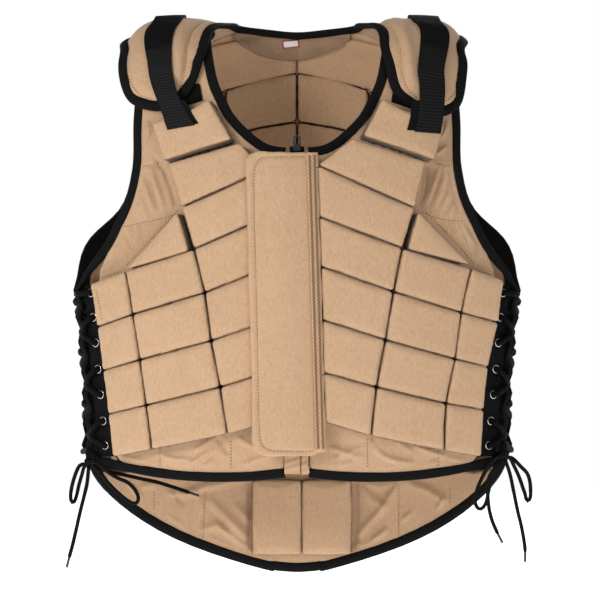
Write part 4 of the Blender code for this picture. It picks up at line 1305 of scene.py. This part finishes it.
tail = {
    "facingSeam": (1.6, -1.8),
    "facingHigher": 1.6,
    "facingLift": 0.8 * mm,
    "facingWall": 0.6 * mm,
    # distances from the blocks within which the cloth gets painted shade
    "dark": (1.8 * mm, 3.2 * mm),
    "folds": (
        (((139, 489), (148, 484), (156, 486)), 2.4, 1.6),
        (((165, 493), (185, 494), (205, 486), (229, 483)), 3.0, 2.2),
        (((206, 497), (225, 517), (249, 540)), 4.5, 2.4),
        (((199, 531), (216, 525), (233, 535), (249, 549)), 3.4, 2.4),
        (((205, 537), (225, 546), (246, 556)), 3.0, 1.8), (((233, 503), (251, 524)), 3.0, 1.5),
        (((167, 515), (189, 533)), 2.8, 1.3), (((223, 482), (246, 480)), 2.2, 1.4),
        (((190, 488), (200, 500), (203, 514)), 2.6, 1.3), (((172, 488), (184, 505)), 2.4, -1.2),
        (((210, 508), (228, 530), (246, 545)), 3.0, -1.6), (((128, 482), (142, 498)), 2.4, 1.3),
        (((401, 481), (391, 495), (379, 513)), 3.0, 2.1), (((358, 484), (374, 501), (388, 507)), 3.0, 2.0),
        (((406, 481), (430, 491), (447, 502)), 3.2, 2.1), (((389, 502), (371, 521), (358, 536)), 3.2, 1.7),
        (((388, 528), (374, 541), (358, 556)), 3.4, 2.2), (((445, 497), (438, 510)), 2.4, 1.4),
        (((402, 521), (412, 512)), 2.4, 1.2), (((356, 543), (370, 549), (380, 559)), 2.6, 1.7),
        (((355, 482), (355, 520), (355, 550)), 3.0, -1.8), (((414, 483), (424, 500)), 2.4, 1.3),
        (((366, 483), (380, 487), (394, 483)), 2.4, 1.4), (((250, 484), (250, 520), (250, 550)), 2.6, -1.5),
        (((298, 561), (302, 565)), 1.4, 0.7), (((306, 561), (302, 565)), 1.4, 0.7),
    ),
    "neckFolds": (
        (((262, 41), (268, 52)), 2.2, 1.0), (((307, 42), (318, 52)), 2.4, 1.2),
        (((327, 40), (344, 47)), 2.2, 0.9), (((240, 40), (250, 48)), 2.2, 0.9),
        (((282, 50), (277, 56)), 1.8, 0.8), (((300, 50), (306, 57)), 1.8, 0.9),
    ),
    "facingTop": ((226, 31), (250, 34), (291, 38.4), (333, 34), (356, 31)),
    "facing": ((230, 35), (243, 46), (258, 54.5), (275, 59), (291, 60.5), (307, 58.5), (322, 54), (338, 47),
               (352, 38)),
    "seams": (((154, 491), (154, 510)), ((205.5, 491), (204, 514), (203, 538)), ((398.8, 484), (398.8, 537)),
              ((450, 487), (450, 503)), ((251.5, 486), (251.5, 556)), ((352, 486), (352, 556))),
    # seams of the tail seen straight from behind, in millimetres
    "behind": (((-150, -505), (-150, -540)), ((-100, -505), (-100, -570)), ((100, -505), (100, -570)),
               ((150, -505), (150, -540)), ((-48, -505), (-48, -590)), ((48, -505), (48, -590))),
}


def looksIn(face):
    middle = face.calc_center_median()
    return face.normal.y < -0.1 and (middle.z < -0.49 or middle.z > -0.075)


def layOver(name, span, upper, lower, depthAt, columns, rows, thickness):
    # a skin over what lies behind it: between two edges in the photograph, at the depth that depthAt gives;
    # its faces are smaller towards its edges
    bm = gridOf(columns, rows)
    low, high = np.array(lower, dtype=float), np.array(upper, dtype=float)
    flat, depths = {}, {}
    for vert in bm.verts:
        across = (math.sin(vert.co.x * math.pi / 2) + 1) / 2
        down = (1 - math.sin(vert.co.y * math.pi / 2)) / 2
        px = span[0] + (span[1] - span[0]) * across
        top, bottom = float(np.interp(px, *high.T)), float(np.interp(px, *low.T))
        py = top + (max(bottom, top + 0.6) - top) * down
        flat[vert] = (px, py)
        depths[vert] = depthAt(px, py, across, down)
    for vert, (px, py) in flat.items():
        vert.co = place(*spot(px, py), depths[vert])
    for _ in range(4):
        bmesh.ops.smooth_vert(bm, verts=bm.verts, factor=0.5, use_axis_y=True)
    return walled(name, bm, thickness)


def depthsRound(tree, px, py, step):
    # depths of the back where it shows at a place in the photograph and at the eight places round it
    hits = [seen(tree, *spot(px + dx, py + dy)) for dx in (-step, 0, step) for dy in (-step, 0, step)]
    return [hit[0].y for hit in hits if hit and hit[0].y > 0.03]


def neckBlocks(shell, inner):
    # the top row of blocks inside the neck, which goes up under the facing and out past the fronts
    shellTree, innerTree = treeOf([shell]), treeOf([inner])
    columns, row = backs["neckLook"]
    deep = [seen(shellTree, *spot(px, row)) for px in columns]
    near = [seen(innerTree, *spot(px, row)) for px in columns]
    raised = [a[0].y - b[0].y for a, b in zip(deep, near) if a and b and a[0].y > 0]
    thick = sum(raised) / len(raised)
    last = [0.09]

    def depthAt(px, py, across, down):
        found = depthsRound(shellTree, px, py, 2)
        if found:
            last[0] = sum(found) / len(found)
        edge = (1 - abs(2 * across - 1) ** 16) * (1 - abs(2 * down - 1) ** 14)
        crown = (1 - (2 * across - 1) ** 2) * (1 - (2 * down - 1) ** 2)
        return last[0] - (thick + backs["neckLift"]) * max(0.0, edge) ** 0.5 - backs["neckCrown"] * crown

    made = []
    for side in ("left", "right"):
        table = backs["neck"][side]
        block = layOver(f"neck_block_{side}", table["span"], table["upper"], table["lower"], depthAt, 44, 22,
                        backs["neckWall"])
        addPiece(block, "cloth", (), "cloth")
        made.append(block)
    return made


def neckFacing(tree):
    # a strip of cloth inside the neck that covers the top of the foam blocks
    edge = tail["facing"]
    last = [0.09]

    def depthAt(px, py, across, down):
        found = depthsRound(tree, px, py, 1.5)
        if found:
            last[0] = min(found)
        return last[0] - tail["facingLift"]

    lower = tuple((px, py + 0.8) for px, py in edge)
    span = (edge[0][0] + 2, edge[-1][0] - 2)
    facing = layOver("neck_facing", span, tail["facingTop"], lower, depthAt, 90, 18, tail["facingWall"])
    relief(facing, higher(tail["neckFolds"], tail["facingHigher"]))
    # its finish is the darker copy of the tan cloth, a painted shade
    addPiece(facing, "facing", (), "cloth")
    return facing


def finishBack():
    shell, outer, inner = makeBack()
    finer(shell, looksIn)
    ripple(shell, *backs["shellRipple"])
    strong = higher(tail["folds"] + tail["neckFolds"], folds["higher"])
    seams = ((tail["facing"], *tail["facingSeam"]),) + tuple((row, *folds["seam"]) for row in tail["seams"])
    relief(shell, strong + seams, still=treeOf([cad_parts["back_edging"]]))
    # painted shade in the gaps between the back's blocks
    paintGrooveShade(shell, treeOf([outer, inner]), *tail["dark"])
    addPiece(shell, "cloth", ["back"], "cloth")
    over = neckBlocks(shell, inner)
    facing = neckFacing(treeOf([shell, inner] + over))
    tree = treeOf([shell, inner, outer, facing] + over)
    rows = [dict(points=row) for row in tail["seams"]] + [dict(points=tail["facing"])]
    rows += [dict(points=row, behind=True) for row in tail["behind"]]
    stitching("back_stitches", rows, tree)
    return tree


backTree = finishBack()
print("back padded")


tag = {
    "corners": ((281.5, 41), (299, 39.3), (299.8, 47), (283, 48.4)),
    # share of the tag's width and height that its white face takes
    "face": (0.84, 0.68),
    "thickness": 0.35 * mm,
    "lift": 0.5 * mm,
    "wave": 0.4 * mm,
}


def tagSheet(name, finish, grow, lift):
    # a small bare sheet that lies on the neck's facing
    bm = gridOf(12, 6)
    topLeft, topRight, lowRight, lowLeft = (Vector((*spot(*corner), 0)) for corner in tag["corners"])
    for vert in bm.verts:
        across, down = (1 + vert.co.x * grow[0]) / 2, (1 - vert.co.y * grow[1]) / 2
        here = topLeft.lerp(topRight, across).lerp(lowLeft.lerp(lowRight, across), down)
        point, normal = seen(backTree, here.x, here.y)
        vert.co = point + normal * (lift + tag["wave"] * math.sin(across * 5) * down)
    return addPiece(walled(name, bm, tag["thickness"]), finish, (), "cloth")


tagSheet("tag_edge", "tagEdge", (1.0, 1.0), tag["lift"])
tagSheet("tag_face", "tag", tag["face"], tag["lift"] + 0.5 * mm)
print("bare tag sewn in")


zipPull = {
    # the loop's middle in pixels, its half width and half height, and its depth in millimetres
    "middle": (297, 140.5),
    "half": (3.2, 4.6),
    "wire": 0.95 * mm,
    "depth": -107.5,
    # the slider's middle in pixels, its width, height and depth in millimetres, and its taper
    "slider": (297, 148, 8.2, 7.5, 3.6),
    "taper": 0.8,
    "bevel": 0.8 * mm,
    # the placket's left, right, top, bottom and seam in pixels, and the piping beside it
    "placket": (284.5, 308.5, 452, 474),
    "placketSeam": 301,
    "placketLift": 0.0016,
    "placketWall": 1.1 * mm,
    "seamDepth": 0.0014,
    "piping": ((306, 455), (307.5, 464), (309, 473)),
    "pipingLift": 0.0026,
    "pipingRadius": 0.9 * mm,
}


def loopPoints(x, z, halfX, halfZ, y):
    found = []
    for i in range(33):
        turn = i / 32 * 2 * math.pi
        across = math.copysign(abs(math.cos(turn)) ** 0.5, math.cos(turn))
        up = math.copysign(abs(math.sin(turn)) ** 0.5, math.sin(turn))
        found.append(place(x + across * halfX, z + up * halfZ, y * mm))
    return found


def zipParts():
    middle = spot(*zipPull["middle"])
    loop = tube("zip_pull_loop", loopPoints(*middle, *zipPull["half"], zipPull["depth"]), zipPull["wire"])
    addPiece(loop, "zip", ["zip_pull"], "zip_pull")
    px, py, wide, tall, deep = zipPull["slider"]
    bm = bmesh.new()
    bmesh.ops.create_cube(bm, size=1)
    bmesh.ops.scale(bm, vec=(wide * mm, deep * mm, tall * mm), verts=bm.verts)
    bmesh.ops.subdivide_edges(bm, edges=bm.edges, cuts=2, use_grid_fill=True)
    for vert in bm.verts:
        if vert.co.z < 0:
            vert.co.x *= zipPull["taper"]
    sharp = [edge for edge in bm.edges if edge.calc_face_angle() > 0.7]
    bmesh.ops.bevel(bm, geom=sharp, offset=zipPull["bevel"], segments=3, profile=0.5, affect="EDGES",
                    material=-1)
    bmesh.ops.translate(bm, verts=bm.verts, vec=place(*spot(px, py), zipPull["depth"] * mm))
    addPiece(objectOf("zip_slider", bm), "zip", (), "zip_pull")
    tapes = rounded("zip_tapes", cadCopy("zip"), 2, 60)
    addPiece(tapes, "binding", ["zip"], "zip")
    makePlacket(tapeDepth(tapes))


def makePlacket(depth):
    # the cloth under the zip's lower end, with its seam and piping
    left, right, top, bottom = zipPull["placket"]
    bm = gridOf(60, 24)
    for vert in bm.verts:
        px, py = left + (right - left) * (vert.co.x + 1) / 2, top + (bottom - top) * (1 - vert.co.y) / 2
        seam = math.exp(-((px - zipPull["placketSeam"]) / 0.9) ** 2)
        y = depth - zipPull["placketLift"] + zipPull["seamDepth"] * seam
        vert.co = place(*spot(px, py), y + 0.0004 * math.sin(py * 0.9 + px * 0.25))
    placket = walled("placket", bm, zipPull["placketWall"])
    across = inView(meshArrays(placket)[0])[0] / view["pixel"] + view["column"]
    # painted shade: a dark line along the seam
    keepValues(placket, "groove", np.exp(-((across - zipPull["placketSeam"]) / 0.6) ** 2))
    addPiece(placket, "cloth", (), "cloth")
    piping = [place(*spot(*point), depth - zipPull["pipingLift"]) for point in zipPull["piping"]]
    cord = tube("placket_piping", smoothRoute(piping, 2 * mm), zipPull["pipingRadius"])
    addPiece(cord, "cloth", (), "cloth")


def tapeDepth(tapes):
    # the front of the zip's tapes at their lower end
    places = meshArrays(tapes)[0]
    low = places[places[:, 2] < places[:, 2].min() + 0.012]
    return float(low[:, 1].min())


zipParts()
print("zip and placket made")


studio = {
    "white": (0.8, 0.8, 0.8),
    "glow": 0.9,
    "floor": -0.7,
    "reach": 2.6,
    "world": 0.18,
    # x, y, z, watts, size, and what it is aimed at
    "key": (-1.5, -2.0, 0.5, 27, 0.7, (0, 0, -0.3)),
    "fill": (1.1, -2.4, -0.9, 22, 1.0, (0, 0, -0.5)),
    "top": (0.2, -0.8, 2.0, 7, 0.9, (0, 0, -0.3)),
    "behind": (0.9, 2.2, 0.9, 25, 1.0, (0, 0, -0.3)),
    "behindFill": (-1.6, 2.0, 0.2, 14, 1.2, (0, 0, -0.3)),
    "lights": ("key", "fill", "top", "behind", "behindFill"),
}


def studioSet():
    # a plain pale floor under a white sky, which lights the vest less than it shows
    bm = bmesh.new()
    bmesh.ops.create_circle(bm, cap_ends=True, segments=64, radius=studio["reach"])
    bmesh.ops.translate(bm, verts=bm.verts, vec=(0, 0, studio["floor"]))
    floor = objectOf("floor", bm)
    white = Finish("studio white", studio["white"], 0.9, Emission_Color=(1, 1, 1, 1),
                   Emission_Strength=studio["glow"])
    fine = white.grain(3, 2.0)
    white.rough((fine - 0.5) * 0.1 + 0.85)
    floor.data.materials.append(white.material)
    world = bpy.data.worlds.new("studio")
    world.use_nodes = True
    nodes, links = world.node_tree.nodes, world.node_tree.links
    nodes["Background"].inputs[0].default_value = (1, 1, 1, 1)
    rays = nodes.new("ShaderNodeLightPath")
    strength = nodes.new("ShaderNodeMapRange")
    links.new(rays.outputs["Is Camera Ray"], strength.inputs[0])
    strength.inputs[3].default_value = studio["world"]
    links.new(strength.outputs[0], nodes["Background"].inputs[1])
    bpy.context.scene.world = world
    for name in studio["lights"]:
        x, y, z, watts, size, target = studio[name]
        data = bpy.data.lights.new(name, "AREA")
        data.energy = watts
        data.size = size
        light = bpy.data.objects.new(name, data)
        light.location = (x, y, z)
        light.visible_camera = False
        aim = Vector(target) - light.location
        light.rotation_euler = aim.to_track_quat("-Z", "Y").to_euler()
        bpy.context.scene.collection.objects.link(light)


studioSet()
bpy.context.scene.view_settings.view_transform = "Standard"
print("studio set")
